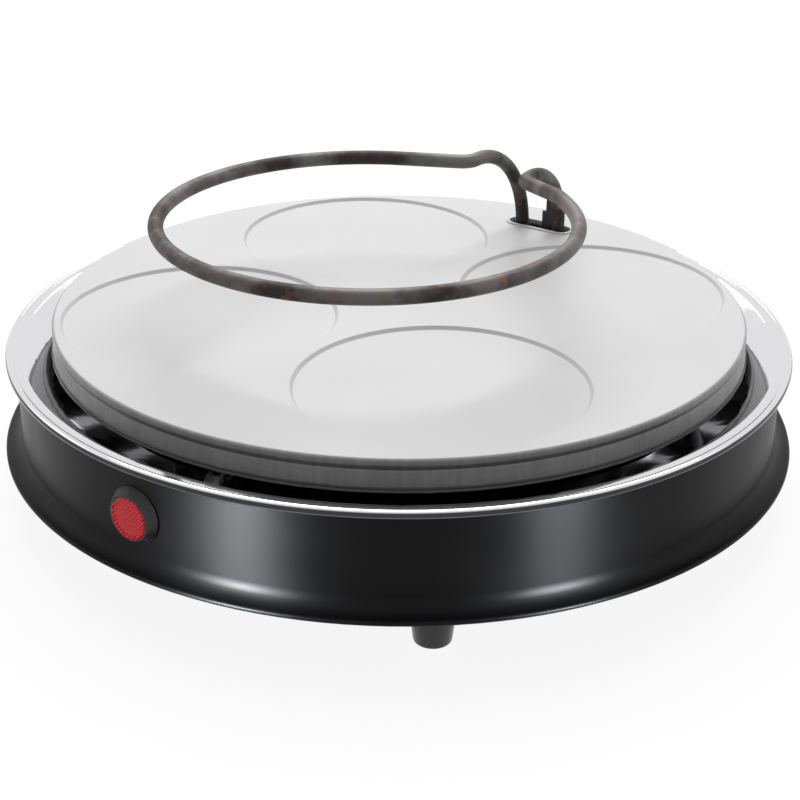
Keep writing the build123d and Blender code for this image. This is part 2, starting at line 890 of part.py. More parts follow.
with BuildPart() as lamp_clip:
    with BuildSketch(lamp_face.offset(-depth_inside_wall(clip_radius))):
        Circle(clip_radius)
        Circle(bezel_barrel_radius + push_fit, mode=Mode.SUBTRACT)
    extrude(amount=-clip_sheet)
lamp_clip.part.label = "lamp_clip"
export_step(lamp_clip.part, "parts/lamp_clip.step")


# Cable gland at the back, with its nut inside the wall

gland_face = wall_plane(gland_angle, gland_height)

with BuildPart() as cable_gland:
    with BuildSketch(gland_face.offset(push_fit)):
        Circle(gland_flange_radius)
    extrude(amount=gland_flange_rise)
    with BuildSketch(gland_face.offset(push_fit)):
        Circle(gland_body_radius)
    extrude(amount=-gland_body_length)
    with BuildSketch(gland_face.offset(-gland_body_length)):
        Circle(gland_bore_radius)
    extrude(amount=gland_body_length + gland_flange_rise + push_fit, mode=Mode.SUBTRACT)
cable_gland.part.label = "cable_gland"
export_step(cable_gland.part, "parts/cable_gland.step")

with BuildPart() as gland_nut:
    with BuildSketch(gland_face.offset(-depth_inside_wall(gland_nut_radius))):
        RegularPolygon(gland_nut_radius, 6)
        Circle(gland_body_radius + push_fit, mode=Mode.SUBTRACT)
    extrude(amount=-gland_nut_length)
gland_nut.part.label = "gland_nut"
export_step(gland_nut.part, "parts/gland_nut.step")


# Terminal block on the cover, with three poles open at both faces

pole_height = cover_top + block_height / 2
inner_face = Plane(
    origin=(*polar(block_circle_radius - block_depth / 2, gland_angle), pole_height),
    x_dir=(-sin(radians(gland_angle)), cos(radians(gland_angle)), 0),
    z_dir=(cos(radians(gland_angle)), sin(radians(gland_angle)), 0),
)
pole_offsets = (-pole_spacing, 0, pole_spacing)

with BuildPart() as terminal_block:
    with BuildSketch(inner_face):
        Rectangle(block_length, block_height)
    extrude(amount=block_depth)
    with BuildSketch(inner_face):
        with Locations(*[(offset_along, 0) for offset_along in pole_offsets]):
            Circle(pole_radius)
    extrude(amount=pole_depth, mode=Mode.SUBTRACT)
    with BuildSketch(inner_face.offset(block_depth - pole_depth)):
        with Locations(*[(offset_along, 0) for offset_along in pole_offsets]):
            Circle(pole_radius)
    extrude(amount=pole_depth, mode=Mode.SUBTRACT)
    for x, y in block_screw_places:
        drill(x, y, cover_top, block_screw_radius + push_fit, block_height / 2)
terminal_block.part.label = "terminal_block"
export_step(terminal_block.part, "parts/terminal_block.step")

with BuildPart() as block_screws:
    for x, y in block_screw_places:
        shank = cover_sheet + block_height / 2 - thread_beyond_nut
        screw(x, y, foot_height, shank, block_screw_radius, False)
block_screws.part.label = "block_screws"
export_step(block_screws.part, "parts/block_screws.step")


# Snap-disc thermostat under the middle of the pan

thermostat_bottom = floor_underside - thermostat_height
thermostat_flange_bottom = floor_underside - thermostat_flange_sheet
thermostat_nut_height = thermostat_screw_radius * nut_height_share

with BuildPart() as thermostat:
    with BuildSketch(Plane.XY.offset(thermostat_bottom)):
        with Locations((thermostat_x, thermostat_y)):
            Circle(thermostat_radius)
    extrude(amount=thermostat_height)
    with BuildSketch(Plane.XY.offset(thermostat_flange_bottom)):
        with Locations((thermostat_x, thermostat_y)):
            SlotOverall(thermostat_flange_length, thermostat_flange_width)
    extrude(amount=thermostat_flange_sheet)
    for x, y in thermostat_screw_places:
        drill(
            x,
            y,
            thermostat_flange_bottom,
            thermostat_screw_radius + push_fit,
            thermostat_flange_sheet,
        )
thermostat.part.label = "thermostat"
export_step(thermostat.part, "parts/thermostat.step")

with BuildPart() as thermostat_terminals:
    for x, y in thermostat_pin_places:
        terminal(x, y, thermostat_bottom, 90)
thermostat_terminals.part.label = "thermostat_terminals"
export_step(thermostat_terminals.part, "parts/thermostat_terminals.step")

with BuildPart() as thermostat_screws:
    for x, y in thermostat_screw_places:
        shank = (
            thermostat_flange_sheet + pan_sheet + thermostat_nut_height + thread_beyond_nut
        )
        screw(x, y, thermostat_flange_bottom, shank, thermostat_screw_radius, False)
thermostat_screws.part.label = "thermostat_screws"
export_step(thermostat_screws.part, "parts/thermostat_screws.step")

with BuildPart() as thermostat_nuts:
    for x, y in thermostat_screw_places:
        nut(x, y, floor_top, thermostat_screw_radius)
thermostat_nuts.part.label = "thermostat_nuts"
export_step(thermostat_nuts.part, "parts/thermostat_nuts.step")


# Earth tag under the pan floor, with its screw and nut

tag_bottom = floor_underside - tag_sheet
earth_nut_height = earth_screw_radius * nut_height_share

with BuildPart() as earth_tag:
    with BuildSketch(Plane.XY.offset(tag_bottom)):
        with Locations((earth_x, earth_y)):
            Circle(tag_radius)
            Rectangle(tag_tail_width, tag_length, align=(Align.CENTER, Align.MIN))
            Circle(earth_screw_radius + push_fit, mode=Mode.SUBTRACT)
    extrude(amount=tag_sheet)
earth_tag.part.label = "earth_tag"
export_step(earth_tag.part, "parts/earth_tag.step")

with BuildPart() as earth_screw:
    shank = tag_sheet + pan_sheet + earth_nut_height + thread_beyond_nut
    screw(earth_x, earth_y, tag_bottom, shank, earth_screw_radius, False)
earth_screw.part.label = "earth_screw"
export_step(earth_screw.part, "parts/earth_screw.step")

with BuildPart() as earth_nut:
    nut(earth_x, earth_y, floor_top, earth_screw_radius)
earth_nut.part.label = "earth_nut"
export_step(earth_nut.part, "parts/earth_nut.step")


# Leads: block to thermostat, thermostat to the upper element, on to the lower one and back


def pole_route(offset_along, exit_angle, exit_run):
    """The end of a lead inside a pole of the block, and the point where it has left it."""
    face = along(block_centre, exit_angle, block_depth / 2)
    mouth = along(face, gland_angle + 90, offset_along)
    seat = along(mouth, exit_angle, lead_seat_gap - pole_depth)
    clear = along(mouth, exit_angle, exit_run)
    return (*seat, pole_height), (*clear, pole_height)


def blade_route(place, top, heading):
    """The end of a lead against a terminal blade, and the point where it has left it."""
    tip = along(place, heading, blade_length + push_fit)
    clear = along(place, heading, blade_length + lead_exit_run)
    height = top - pin_length - blade_sheet / 2
    return (*tip, height), (*clear, height)


upper_tips = [blade_route(place, pin_top, -90) for place in upper_leg_places]
lower_tips = [blade_route(place, pin_top, lower_leg_angle + 180) for place in lower_leg_places]
snap_tips = [blade_route(place, thermostat_bottom, 90) for place in thermostat_pin_places]
inwards = gland_angle + 180
live_seat, live_clear = pole_route(0, inwards, lead_exit_run)
neutral_seat, neutral_clear = pole_route(-pole_spacing, inwards, lead_exit_run)
earth_seat, earth_clear = pole_route(pole_spacing, inwards, lead_exit_run)
lead_bed = cover_top + lead_radius + hole_clearance

element_lead_routes = [
    [live_seat, live_clear, snap_tips[1][1], snap_tips[1][0]],
    [snap_tips[0][0], snap_tips[0][1], upper_tips[1][1], upper_tips[1][0]],
    [upper_tips[0][0], upper_tips[0][1], lower_tips[0][1], lower_tips[0][0]],
    [
        lower_tips[1][0],
        lower_tips[1][1],
        (-return_lead_x, -return_lead_y, lead_bed),
        (return_lead_x, -return_lead_y, lead_bed),
        (return_lead_far_x, return_lead_far_y, lead_bed),
        neutral_clear,
        neutral_seat,
    ],
]
with BuildPart() as element_leads:
    for route in element_lead_routes:
        round_bar(route, easy_bends(route), lead_radius)
element_leads.part.label = "element_leads"
export_step(element_leads.part, "parts/element_leads.step")

tag_tail_y = earth_y + tag_length - lead_radius
earth_route = [
    earth_seat,
    earth_clear,
    (earth_x, tag_tail_y, pole_height),
    (earth_x, tag_tail_y, tag_bottom - push_fit),
]
with BuildPart() as earth_lead:
    round_bar(earth_route, easy_bends(earth_route), lead_radius)
earth_lead.part.label = "earth_lead"
export_step(earth_lead.part, "parts/earth_lead.step")

lamp_pin_end_y = -(housing_radius - bezel_barrel_length - lamp_pin_length - push_fit)
with BuildPart() as lamp_leads:
    for side, pole_offset, exit_run in (
        (-1, -pole_spacing, lead_short_run),
        (1, 0, lead_exit_run),
    ):
        lead_circle_radius = lamp_lead_radius + side * lamp_lead_offset / 2
        pin_x = side * lamp_pin_spacing / 2
        outer_seat, outer_clear = pole_route(pole_offset, gland_angle, exit_run)
        descent_y = lamp_pin_end_y + lead_exit_run - side * lamp_lead_offset / 2
        lamp_route = [
            (pin_x, lamp_pin_end_y, lamp_height),
            (pin_x, descent_y, lamp_height),
            (pin_x, descent_y, lead_bed),
        ]
        for turn in lamp_lead_angles:
            lamp_route.append((*polar(lead_circle_radius, turn), lead_bed))
        lamp_route += [outer_clear, outer_seat]
        round_bar(lamp_route, easy_bends(lamp_route), lead_radius)
lamp_leads.part.label = "lamp_leads"
export_step(lamp_leads.part, "parts/lamp_leads.step")
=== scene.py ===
import json

import bmesh
import bpy
import numpy as np
from mathutils import Matrix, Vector
from mathutils.geometry import delaunay_2d_cdt

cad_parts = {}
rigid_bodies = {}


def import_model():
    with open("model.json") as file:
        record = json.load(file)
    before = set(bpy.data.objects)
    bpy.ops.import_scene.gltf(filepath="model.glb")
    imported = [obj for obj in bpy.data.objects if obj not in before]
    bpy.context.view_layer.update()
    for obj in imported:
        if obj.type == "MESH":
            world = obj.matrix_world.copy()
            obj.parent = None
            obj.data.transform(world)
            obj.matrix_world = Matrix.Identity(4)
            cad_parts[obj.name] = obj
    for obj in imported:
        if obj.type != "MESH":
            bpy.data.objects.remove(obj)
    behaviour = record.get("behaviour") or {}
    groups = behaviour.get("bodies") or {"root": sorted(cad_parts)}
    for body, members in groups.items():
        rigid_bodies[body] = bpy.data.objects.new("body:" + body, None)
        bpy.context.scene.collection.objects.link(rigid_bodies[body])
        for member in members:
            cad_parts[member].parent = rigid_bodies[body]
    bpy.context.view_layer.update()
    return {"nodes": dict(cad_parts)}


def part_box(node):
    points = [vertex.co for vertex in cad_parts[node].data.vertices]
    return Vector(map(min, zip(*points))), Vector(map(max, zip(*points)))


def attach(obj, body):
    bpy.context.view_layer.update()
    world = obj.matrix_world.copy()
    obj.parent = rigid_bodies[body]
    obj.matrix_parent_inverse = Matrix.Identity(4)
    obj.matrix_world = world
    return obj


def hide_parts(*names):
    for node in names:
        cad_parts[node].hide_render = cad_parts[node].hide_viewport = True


bl_info = {
    "name": "Tabletop pizza oven",
    "version": (1, 0, 0),
    "blender": (4, 5, 0),
    "location": "3D View > Sidebar > Oven",
    "description": "Dresses the base unit of a round electric pizza oven",
    "category": "Object",
}

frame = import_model()

# Lengths in this file are millimetres until a mesh is made, unless a property's unit says metres.
MM = 0.001
# Points closer than this, in metres, are one point.
WELD_DISTANCE = 2e-6
BASE = "base"
PLATE = "plate"

# Heights and radii that several pieces share
HOUSING_RADIUS = 166.0
LAND_TOP = 65.2
FLOOR_TOP = 44.0
PLATE_TOP = 76.2
LAMP_ANGLE = 268.0
LAMP_HEIGHT = 44.0
GLAND_ANGLE = 66.0
GLAND_HEIGHT = 40.0
LEG_SETBACK = 124.0
LEG_X = 10.0
LEG_END = 39.0
SLOT_HALF_STRAIGHT = 11.75
SLOT_END_RADIUS = 4.75
PAN_SHEET = 0.8
PLATE_SHEET = 1.4
PLATE_SIDES = 512
LOOP_CENTRE = (-2.0, -21.4)
LOOP_RADIUS = 88.0
LOOP_HEIGHT = 120.0
LEFT_END_ANGLE = 115.6
RIGHT_END_ANGLE = 47.9


# Colours and nodes


def colour(code):
    """Turn an sRGB hex code such as "c0c0c4" into a linear colour with full alpha."""
    channels = np.array([int(code[i : i + 2], 16) for i in (0, 2, 4)]) / 255
    linear = np.where(channels <= 0.04045, channels / 12.92, ((channels + 0.055) / 1.055) ** 2.4)
    return (*linear.tolist(), 1.0)


def add_node(tree, kind, inputs=None, **settings):
    """Add a node. Settings are its attributes. Inputs are socket values, or what to link: a
    socket, or a node that stands for its first output."""
    node = tree.nodes.new(kind)
    for name, value in settings.items():
        setattr(node, name, value)
    for name, value in (inputs or {}).items():
        if isinstance(value, bpy.types.Node):
            value = value.outputs[0]
        if isinstance(value, bpy.types.NodeSocket):
            tree.links.new(value, node.inputs[name])
        else:
            node.inputs[name].default_value = value
    return node


def new_material(name):
    """An empty node material, with its tree and its Object coordinates."""
    material = bpy.data.materials.new(name)
    material.use_nodes = True
    tree = material.node_tree
    tree.nodes.clear()
    place = add_node(tree, "ShaderNodeTexCoord").outputs["Object"]
    return material, tree, place


def per_metre(size):
    """Scale of a noise or wave texture whose marks are about a size in millimetres."""
    return 1 / (size * MM)


# Shapes


def unit(vectors):
    """Scale each vector to length one."""
    return vectors / np.linalg.norm(vectors, axis=-1, keepdims=True)


def rounded(corners, radii, steps=8):
    """Round the inner corners of a polyline, in the plane or in space.

    At each corner the two runs are cut back by the radius times the tangent of half the turn,
    and an arc of that radius joins the cuts.
    """
    corners = np.asarray(corners, float)
    parts = [corners[:1]]
    for before, corner, after, radius in zip(corners, corners[1:], corners[2:], radii):
        run_in = unit(corner - before)
        run_out = unit(after - corner)
        turn = np.arccos(np.clip(run_in @ run_out, -1, 1))
        if radius == 0 or turn < 1e-6:
            parts.append(corner[None])
            continue
        inward = unit(run_out - run_in * (run_in @ run_out))
        angle = np.linspace(0, turn, steps + 1)[:, None]
        start = corner - run_in * radius * np.tan(turn / 2)
        parts.append(start + radius * (np.sin(angle) * run_in + (1 - np.cos(angle)) * inward))
    parts.append(corners[-1:])
    return np.concatenate(parts)


def arc(centre, radius, start, end, steps):
    """Points of a circle's arc in the plane, between two angles in degrees."""
    angle = np.radians(np.linspace(start, end, steps + 1))
    return np.stack([centre[0] + radius * np.cos(angle), centre[1] + radius * np.sin(angle)], 1)


def spot(radius, angle, centre=(0, 0)):
    """A point in the plane, at a radius and an angle in degrees from a centre."""
    return arc(centre, radius, angle, angle, 0)[0]


def finer(line, step):
    """Add evenly spaced points along a line's runs, so that none is longer than a step."""
    line = np.asarray(line, float)
    reach = np.concatenate([[0], np.cumsum(np.linalg.norm(np.diff(line, axis=0), axis=1))])
    extra = np.arange(0, reach[-1], step)
    places = np.unique(np.round(np.concatenate([reach, extra]), 6))
    return np.stack([np.interp(places, reach, column) for column in line.T], 1)


def grid_faces(rows, columns, wrap_rows, wrap_columns, first=0):
    """Vertex numbers of the quads of a grid, which may close on itself either way."""
    numbers = np.arange(rows * columns).reshape(rows, columns) + first
    if wrap_rows:
        numbers = np.concatenate([numbers, numbers[:1]])
    if wrap_columns:
        numbers = np.concatenate([numbers, numbers[:, :1]], 1)
    corners = (numbers[:-1, :-1], numbers[1:, :-1], numbers[1:, 1:], numbers[:-1, 1:])
    return np.stack([corner.ravel() for corner in corners], 1)


def revolved(profile, steps, wrap_profile=True, ripple=None):
    """Turn a profile of (radius, height) points about the Z axis.

    A point is (r cos t, r sin t, h), where t goes once round. A ripple is a function of the
    grids of r, h and t that gives the changes in radius and in height.
    """
    profile = np.asarray(profile, float)
    turn = np.linspace(0, 2 * np.pi, steps, endpoint=False)[None, :]
    radius = np.repeat(profile[:, :1], steps, 1)
    height = np.repeat(profile[:, 1:], steps, 1)
    if ripple is not None:
        radius_change, height_change = ripple(radius, height, turn)
        radius = radius + radius_change
        height = height + height_change
    points = np.stack([radius * np.cos(turn), radius * np.sin(turn), height], -1)
    faces = grid_faces(len(profile), steps, wrap_profile, True)
    return points.reshape(-1, 3), faces


def stood_on(points, origin, outwards):
    """Turn points about Z so that their axis points outwards in plan, from an origin.

    Height runs along the outward direction, and the old X and Y run across it and up.
    """
    angle = np.radians(outwards)
    across = np.array([-np.sin(angle), np.cos(angle), 0])
    out = np.array([np.cos(angle), np.sin(angle), 0])
    up = np.array([0, 0, 1.0])
    return origin + points[:, :1] * across + points[:, 1:2] * up + points[:, 2:] * out


def tube(path, radius, sides):
    """Carry a circle along a path in space.

    Each ring stands square to the path's direction there. Its first axis is the cross product
    of the direction with a vector that points up where the path is level and along Y where it
    is upright.
    """
    direction = unit(np.gradient(path, axis=0))
    direction[0] = unit(path[1] - path[0])
    direction[-1] = unit(path[-1] - path[-2])
    level = np.hypot(direction[:, 0], direction[:, 1])
    guide = np.column_stack([np.zeros(len(path)), np.abs(direction[:, 2]), level])
    first = unit(np.cross(direction, guide))
    second = np.cross(direction, first)
    turn = np.linspace(0, 2 * np.pi, sides, endpoint=False)[None, :, None]
    rings = path[:, None] + radius * (np.cos(turn) * first[:, None] + np.sin(turn) * second[:, None])
    points = np.concatenate([rings.reshape(-1, 3), path[:1], path[-1:]])
    last = (len(path) - 1) * sides
    around = np.arange(sides)
    beside = (around + 1) % sides
    hub = np.full(sides, len(path) * sides)
    cap_start = np.stack([around, beside, hub, hub], 1)
    cap_end = np.stack([beside + last, around + last, hub + 1, hub + 1], 1)
    faces = np.concatenate([grid_faces(len(path), sides, False, True), cap_start, cap_end])
    return points, faces


def joined(*shapes):
    """Put several shapes' points and faces in one."""
    points = []
    faces = []
    count = 0
    for shape_points, shape_faces in shapes:
        points.append(shape_points)
        faces.append(shape_faces + count)
        count += len(shape_points)
    return np.concatenate(points), np.concatenate(faces)


def make_piece(name, shape, material, body, node_names, sharp_angle=35):
    """Make an object from points in millimetres and quads, or triangles that repeat a corner.

    Doubled points are merged, normals are made to point outwards, and edges sharper than an
    angle stay crisp.
    """
    points, faces = shape
    corners = np.where(faces[:, 2] == faces[:, 3], 3, 4)
    kept = np.arange(4)[None, :] < corners[:, None]
    starts = np.concatenate([[0], np.cumsum(corners)[:-1]])
    mesh = bpy.data.meshes.new(name)
    mesh.vertices.add(len(points))
    mesh.vertices.foreach_set("co", (np.asarray(points) * MM).astype(np.float32).ravel())
    mesh.loops.add(int(corners.sum()))
    mesh.loops.foreach_set("vertex_index", faces[kept].astype(np.int32))
    mesh.polygons.add(len(faces))
    mesh.polygons.foreach_set("loop_start", starts.astype(np.int32))
    mesh.update(calc_edges=True)
    work = bmesh.new()
    work.from_mesh(mesh)
    bmesh.ops.remove_doubles(work, verts=work.verts, dist=WELD_DISTANCE)
    bmesh.ops.recalc_face_normals(work, faces=work.faces)
    work.to_mesh(mesh)
    work.free()
    mesh.shade_smooth()
    mesh.set_sharp_from_angle(angle=np.radians(sharp_angle))
    piece = bpy.data.objects.new(name, mesh)
    bpy.context.scene.collection.objects.link(piece)
    mesh.materials.append(material)
    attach(piece, body)
    if node_names:
        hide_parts(*node_names)
    return piece


def dress(node_name, material, edge=0.0):
    """Give a CAD node a material, and round its edges by a width in millimetres."""
    node = frame["nodes"][node_name]
    node.data.materials.clear()
    node.data.materials.append(material)
    if edge:
        weld = node.modifiers.new("weld", "WELD")
        weld.merge_threshold = WELD_DISTANCE
        bevel = node.modifiers.new("bevel", "BEVEL")
        bevel.width = edge * MM
        bevel.segments = 2
        bevel.limit_method = "ANGLE"
        bevel.angle_limit = np.radians(40)
        bevel.harden_normals = True
    return node


# Materials


def satin_black_enamel(base):
    """Black stove enamel, sprayed thinly on sheet steel that was spun to shape, and baked: a
    dark coat with faint orange peel, in which the spinning marks stretch each reflection
    upright."""
    material, tree, place = new_material("satin_black_enamel")
    # Orange peel is 1 to 2 mm across and a few microns deep.
    peel = add_node(tree, "ShaderNodeTexNoise", {"Vector": place, "Scale": per_metre(1.6), "Detail": 1.0})
    relief = add_node(tree, "ShaderNodeBump", {"Height": peel, "Distance": 0.004 * MM})
    haze = add_node(tree, "ShaderNodeTexNoise", {"Vector": place, "Scale": per_metre(45), "Detail": 3.0})
    roughness = add_node(
        tree,
        "ShaderNodeMapRange",
        {"Value": haze, "From Min": 0.35, "From Max": 0.7, "To Min": 0.34, "To Max": 0.42},
    )
    round_the_wall = add_node(tree, "ShaderNodeTangent", direction_type="RADIAL", axis="Z")
    shader = add_node(
        tree,
        "ShaderNodeBsdfPrincipled",
        {
            "Base Color": base,
            "IOR": 1.5,
            "Specular IOR Level": 0.1,
            "Anisotropic": 0.8,
            "Anisotropic Rotation": 0.25,
            "Tangent": round_the_wall,
            "Roughness": roughness,
            "Normal": relief,
        },
    )
    add_node(tree, "ShaderNodeOutputMaterial", {"Surface": shader})
    return material


def bright_plated_steel(base, painted_shade, painted_reflection):
    """Drawn steel sheet, polished and bright plated: a mirror with faintly duller patches and slight waves
    left by the press. A narrow dark line round the outside of the rolled edge is painted shade in the gap
    under it, and a purple black patch on the slope, up to a ragged edge, is a painted dark reflection of the
    plate's shaded skirt."""
    material, tree, place = new_material("bright_plated_steel")
    stains = add_node(
        tree,
        "ShaderNodeTexNoise",
        {"Vector": place, "Scale": per_metre(18), "Detail": 5.0, "Roughness": 0.6},
    )
    roughness = add_node(
        tree,
        "ShaderNodeMapRange",
        {"Value": stains, "From Min": 0.35, "From Max": 0.75, "To Min": 0.04, "To Max": 0.1},
    )
    waves = add_node(tree, "ShaderNodeTexNoise", {"Vector": place, "Scale": per_metre(9), "Detail": 2.0})
    relief = add_node(tree, "ShaderNodeBump", {"Height": waves, "Distance": 0.02 * MM})
    # Painted shade: a narrow dark band round the outside of the rolled edge, about a millimetre each side of
    # 64.4 mm high.
    outer_side = 169.0
    shade_line_height = 64.4
    in_plan = add_node(tree, "ShaderNodeVectorMath", {0: place, 1: (1.0, 1.0, 0.0)}, operation="MULTIPLY")
    radius = add_node(tree, "ShaderNodeVectorMath", {0: in_plan}, operation="LENGTH")
    outside = add_node(
        tree,
        "ShaderNodeMapRange",
        {"Value": radius.outputs["Value"], "From Min": outer_side * MM, "From Max": (outer_side + 0.5) * MM},
    )
    height = add_node(tree, "ShaderNodeSeparateXYZ", {"Vector": place})
    above = add_node(
        tree,
        "ShaderNodeMath",
        {0: height.outputs["Z"], 1: shade_line_height * MM},
        operation="SUBTRACT",
    )
    away = add_node(tree, "ShaderNodeMath", {0: above}, operation="ABSOLUTE")
    line = add_node(
        tree,
        "ShaderNodeMapRange",
        {"Value": away, "From Min": 0.8 * MM, "From Max": 1.15 * MM, "To Min": 1.0, "To Max": 0.0},
    )
    shade_line_share = add_node(tree, "ShaderNodeMath", {0: outside, 1: line}, operation="MULTIPLY")
    plated = add_node(tree, "ShaderNodeMix", {"Factor": shade_line_share, 6: base, 7: painted_shade}, data_type="RGBA")
    # A painted dark reflection of the plate's shaded skirt lies 21 mm off the middle, towards the front. Its
    # edge wanders by some 2 mm and stops short of the flat land.
    reflection_middle = (12 * MM, -17 * MM, 0.0)
    reflection_radius = 151.2
    land_gap = 15.5
    off_middle = add_node(
        tree,
        "ShaderNodeVectorMath",
        {0: in_plan, 1: reflection_middle},
        operation="SUBTRACT",
    )
    off_radius = add_node(tree, "ShaderNodeVectorMath", {0: off_middle}, operation="LENGTH")
    below_land = add_node(
        tree, "ShaderNodeMath", {0: radius.outputs["Value"], 1: land_gap * MM}, operation="SUBTRACT"
    )
    farther = add_node(
        tree,
        "ShaderNodeMath",
        {0: off_radius.outputs["Value"], 1: below_land},
        operation="MAXIMUM",
    )
    tongues = add_node(
        tree,
        "ShaderNodeTexNoise",
        {"Vector": place, "Scale": per_metre(16), "Detail": 1.5},
    )
    edge = add_node(tree, "ShaderNodeMath", {0: tongues, 1: 9 * MM, 2: farther}, operation="MULTIPLY_ADD")
    in_painted_reflection = add_node(
        tree,
        "ShaderNodeMapRange",
        {
            "Value": edge,
            "From Min": reflection_radius * MM,
            "From Max": (reflection_radius + 0.6) * MM,
            "To Min": 1.0,
            "To Max": 0.0,
        },
    )
    # Mix in the painted dark reflection on the slope.
    tone = add_node(
        tree,
        "ShaderNodeMix",
        {"Factor": in_painted_reflection, 6: plated.outputs[2], 7: painted_reflection},
        data_type="RGBA",
    )
    shader = add_node(
        tree,
        "ShaderNodeBsdfPrincipled",
        {"Base Color": tone.outputs[2], "Metallic": 1.0, "Roughness": roughness, "Normal": relief},
    )
    add_node(tree, "ShaderNodeOutputMaterial", {"Surface": shader})
    return material


def grey_release_coating(base, skirt_tones_and_painted_light):
    """Light grey release coating on a pressed steel disc: satin, very slightly grained. The skirt is darker
    and duller than the top, with upright streaks from the die, painted shade in its fold and its groove, and
    a painted highlight along the wall's upper edge. Its tones are pairs of a height in millimetres and a
    colour."""
    material, tree, place = new_material("grey_release_coating")
    clouds = add_node(
        tree, "ShaderNodeTexNoise", {"Vector": place, "Scale": per_metre(60), "Detail": 3.0}
    )
    cloudiness = add_node(tree, "ShaderNodeMapRange", {"Value": clouds, "From Min": 0.3, "From Max": 0.7})
    darker = tuple(channel * 0.94 for channel in base[:3]) + (1.0,)
    tint = add_node(tree, "ShaderNodeMix", {"Factor": cloudiness, 6: base, 7: darker}, data_type="RGBA")
    roughness = add_node(
        tree,
        "ShaderNodeMapRange",
        {"Value": clouds, "From Min": 0.3, "From Max": 0.7, "To Min": 0.38, "To Max": 0.46},
    )
    grain = add_node(
        tree, "ShaderNodeTexNoise", {"Vector": place, "Scale": per_metre(0.9), "Detail": 2.0}
    )
    relief = add_node(tree, "ShaderNodeBump", {"Height": grain, "Distance": 0.006 * MM})
    parts = add_node(tree, "ShaderNodeSeparateXYZ", {"Vector": place})
    lowest = skirt_tones_and_painted_light[0][0]
    rise = skirt_tones_and_painted_light[-1][0] - lowest
    level = add_node(
        tree,
        "ShaderNodeMapRange",
        {"Value": parts.outputs["Z"], "From Min": lowest * MM, "From Max": (lowest + rise) * MM},
    )
    # The ramp holds the skirt's tones, with painted shade in its fold and groove and a painted highlight
    # along the wall's upper edge.
    bands = add_node(tree, "ShaderNodeValToRGB", {"Fac": level})
    ramp = bands.color_ramp.elements
    ramp.remove(ramp[1])
    for height, code in skirt_tones_and_painted_light[1:]:
        ramp.new((height - lowest) / rise).color = colour(code)
    ramp[0].color = colour(skirt_tones_and_painted_light[0][1])
    # The die's streaks are about 1 mm wide and run the whole height of the skirt.
    upright = add_node(
        tree, "ShaderNodeVectorMath", {0: place, 1: (1.0, 1.0, 0.04)}, operation="MULTIPLY"
    )
    streaks = add_node(
        tree,
        "ShaderNodeTexNoise",
        {"Vector": upright, "Scale": per_metre(2.5), "Detail": 4.0},
    )
    shade = add_node(
        tree,
        "ShaderNodeMapRange",
        {"Value": streaks, "From Min": 0.3, "From Max": 0.7, "To Min": 0.88, "To Max": 1.12},
    )
    streaked = add_node(tree, "ShaderNodeVectorMath", {0: bands, "Scale": shade}, operation="SCALE")
    in_plan = add_node(tree, "ShaderNodeVectorMath", {0: place, 1: (1.0, 1.0, 0.0)}, operation="MULTIPLY")
    radius = add_node(tree, "ShaderNodeVectorMath", {0: in_plan}, operation="LENGTH")
    skirt_edge = 148.9
    on_skirt = add_node(
        tree,
        "ShaderNodeMapRange",
        {"Value": radius.outputs["Value"], "From Min": skirt_edge * MM, "From Max": (skirt_edge + 0.5) * MM},
    )
    tone = add_node(
        tree,
        "ShaderNodeMix",
        {"Factor": on_skirt, 6: tint.outputs[2], 7: streaked},
        data_type="RGBA",
    )
    shader = add_node(
        tree,
        "ShaderNodeBsdfPrincipled",
        {
            "Base Color": tone.outputs[2],
            "IOR": 1.5,
            "Specular IOR Level": 0.35,
            "Roughness": roughness,
            "Normal": relief,
        },
    )
    add_node(tree, "ShaderNodeOutputMaterial", {"Surface": shader})
    return material


def heat_tinted_steel(base, tint, rust):
    """Steel sheath of a tubular heater, drawn and then tinted brown by its own heat: dark
    patches with soft edges, a few small rusty spots, and a fine grain from drawing. The oxide
    is dull, so the tube stays dark up to its edges."""
    material, tree, place = new_material("heat_tinted_steel")
    patches = add_node(
        tree,
        "ShaderNodeTexNoise",
        {"Vector": place, "Scale": per_metre(26), "Detail": 5.0, "Roughness": 0.6},
    )
    tinted = add_node(tree, "ShaderNodeMapRange", {"Value": patches, "From Min": 0.4, "From Max": 0.6})
    tone = add_node(tree, "ShaderNodeMix", {"Factor": tinted, 6: base, 7: tint}, data_type="RGBA")
    specks = add_node(tree, "ShaderNodeTexNoise", {"Vector": place, "Scale": per_metre(5), "Detail": 3.0})
    rusty = add_node(
        tree,
        "ShaderNodeMapRange",
        {"Value": specks, "From Min": 0.6, "From Max": 0.72, "To Max": 0.5},
    )
    spotted = add_node(
        tree,
        "ShaderNodeMix",
        {"Factor": rusty, 6: tone.outputs[2], 7: rust},
        data_type="RGBA",
    )
    roughness = add_node(
        tree,
        "ShaderNodeMapRange",
        {"Value": patches, "From Min": 0.3, "From Max": 0.7, "To Min": 0.42, "To Max": 0.56},
    )
    grain = add_node(
        tree, "ShaderNodeTexNoise", {"Vector": place, "Scale": per_metre(0.7), "Detail": 3.0}
    )
    relief = add_node(tree, "ShaderNodeBump", {"Height": grain, "Distance": 0.012 * MM})
    shader = add_node(
        tree,
        "ShaderNodeBsdfPrincipled",
        {
            "Base Color": spotted.outputs[2],
            "Metallic": 0.35,
            "Specular IOR Level": 0.2,
            "Roughness": roughness,
            "Normal": relief,
        },
    )
    add_node(tree, "ShaderNodeOutputMaterial", {"Surface": shader})
    return material


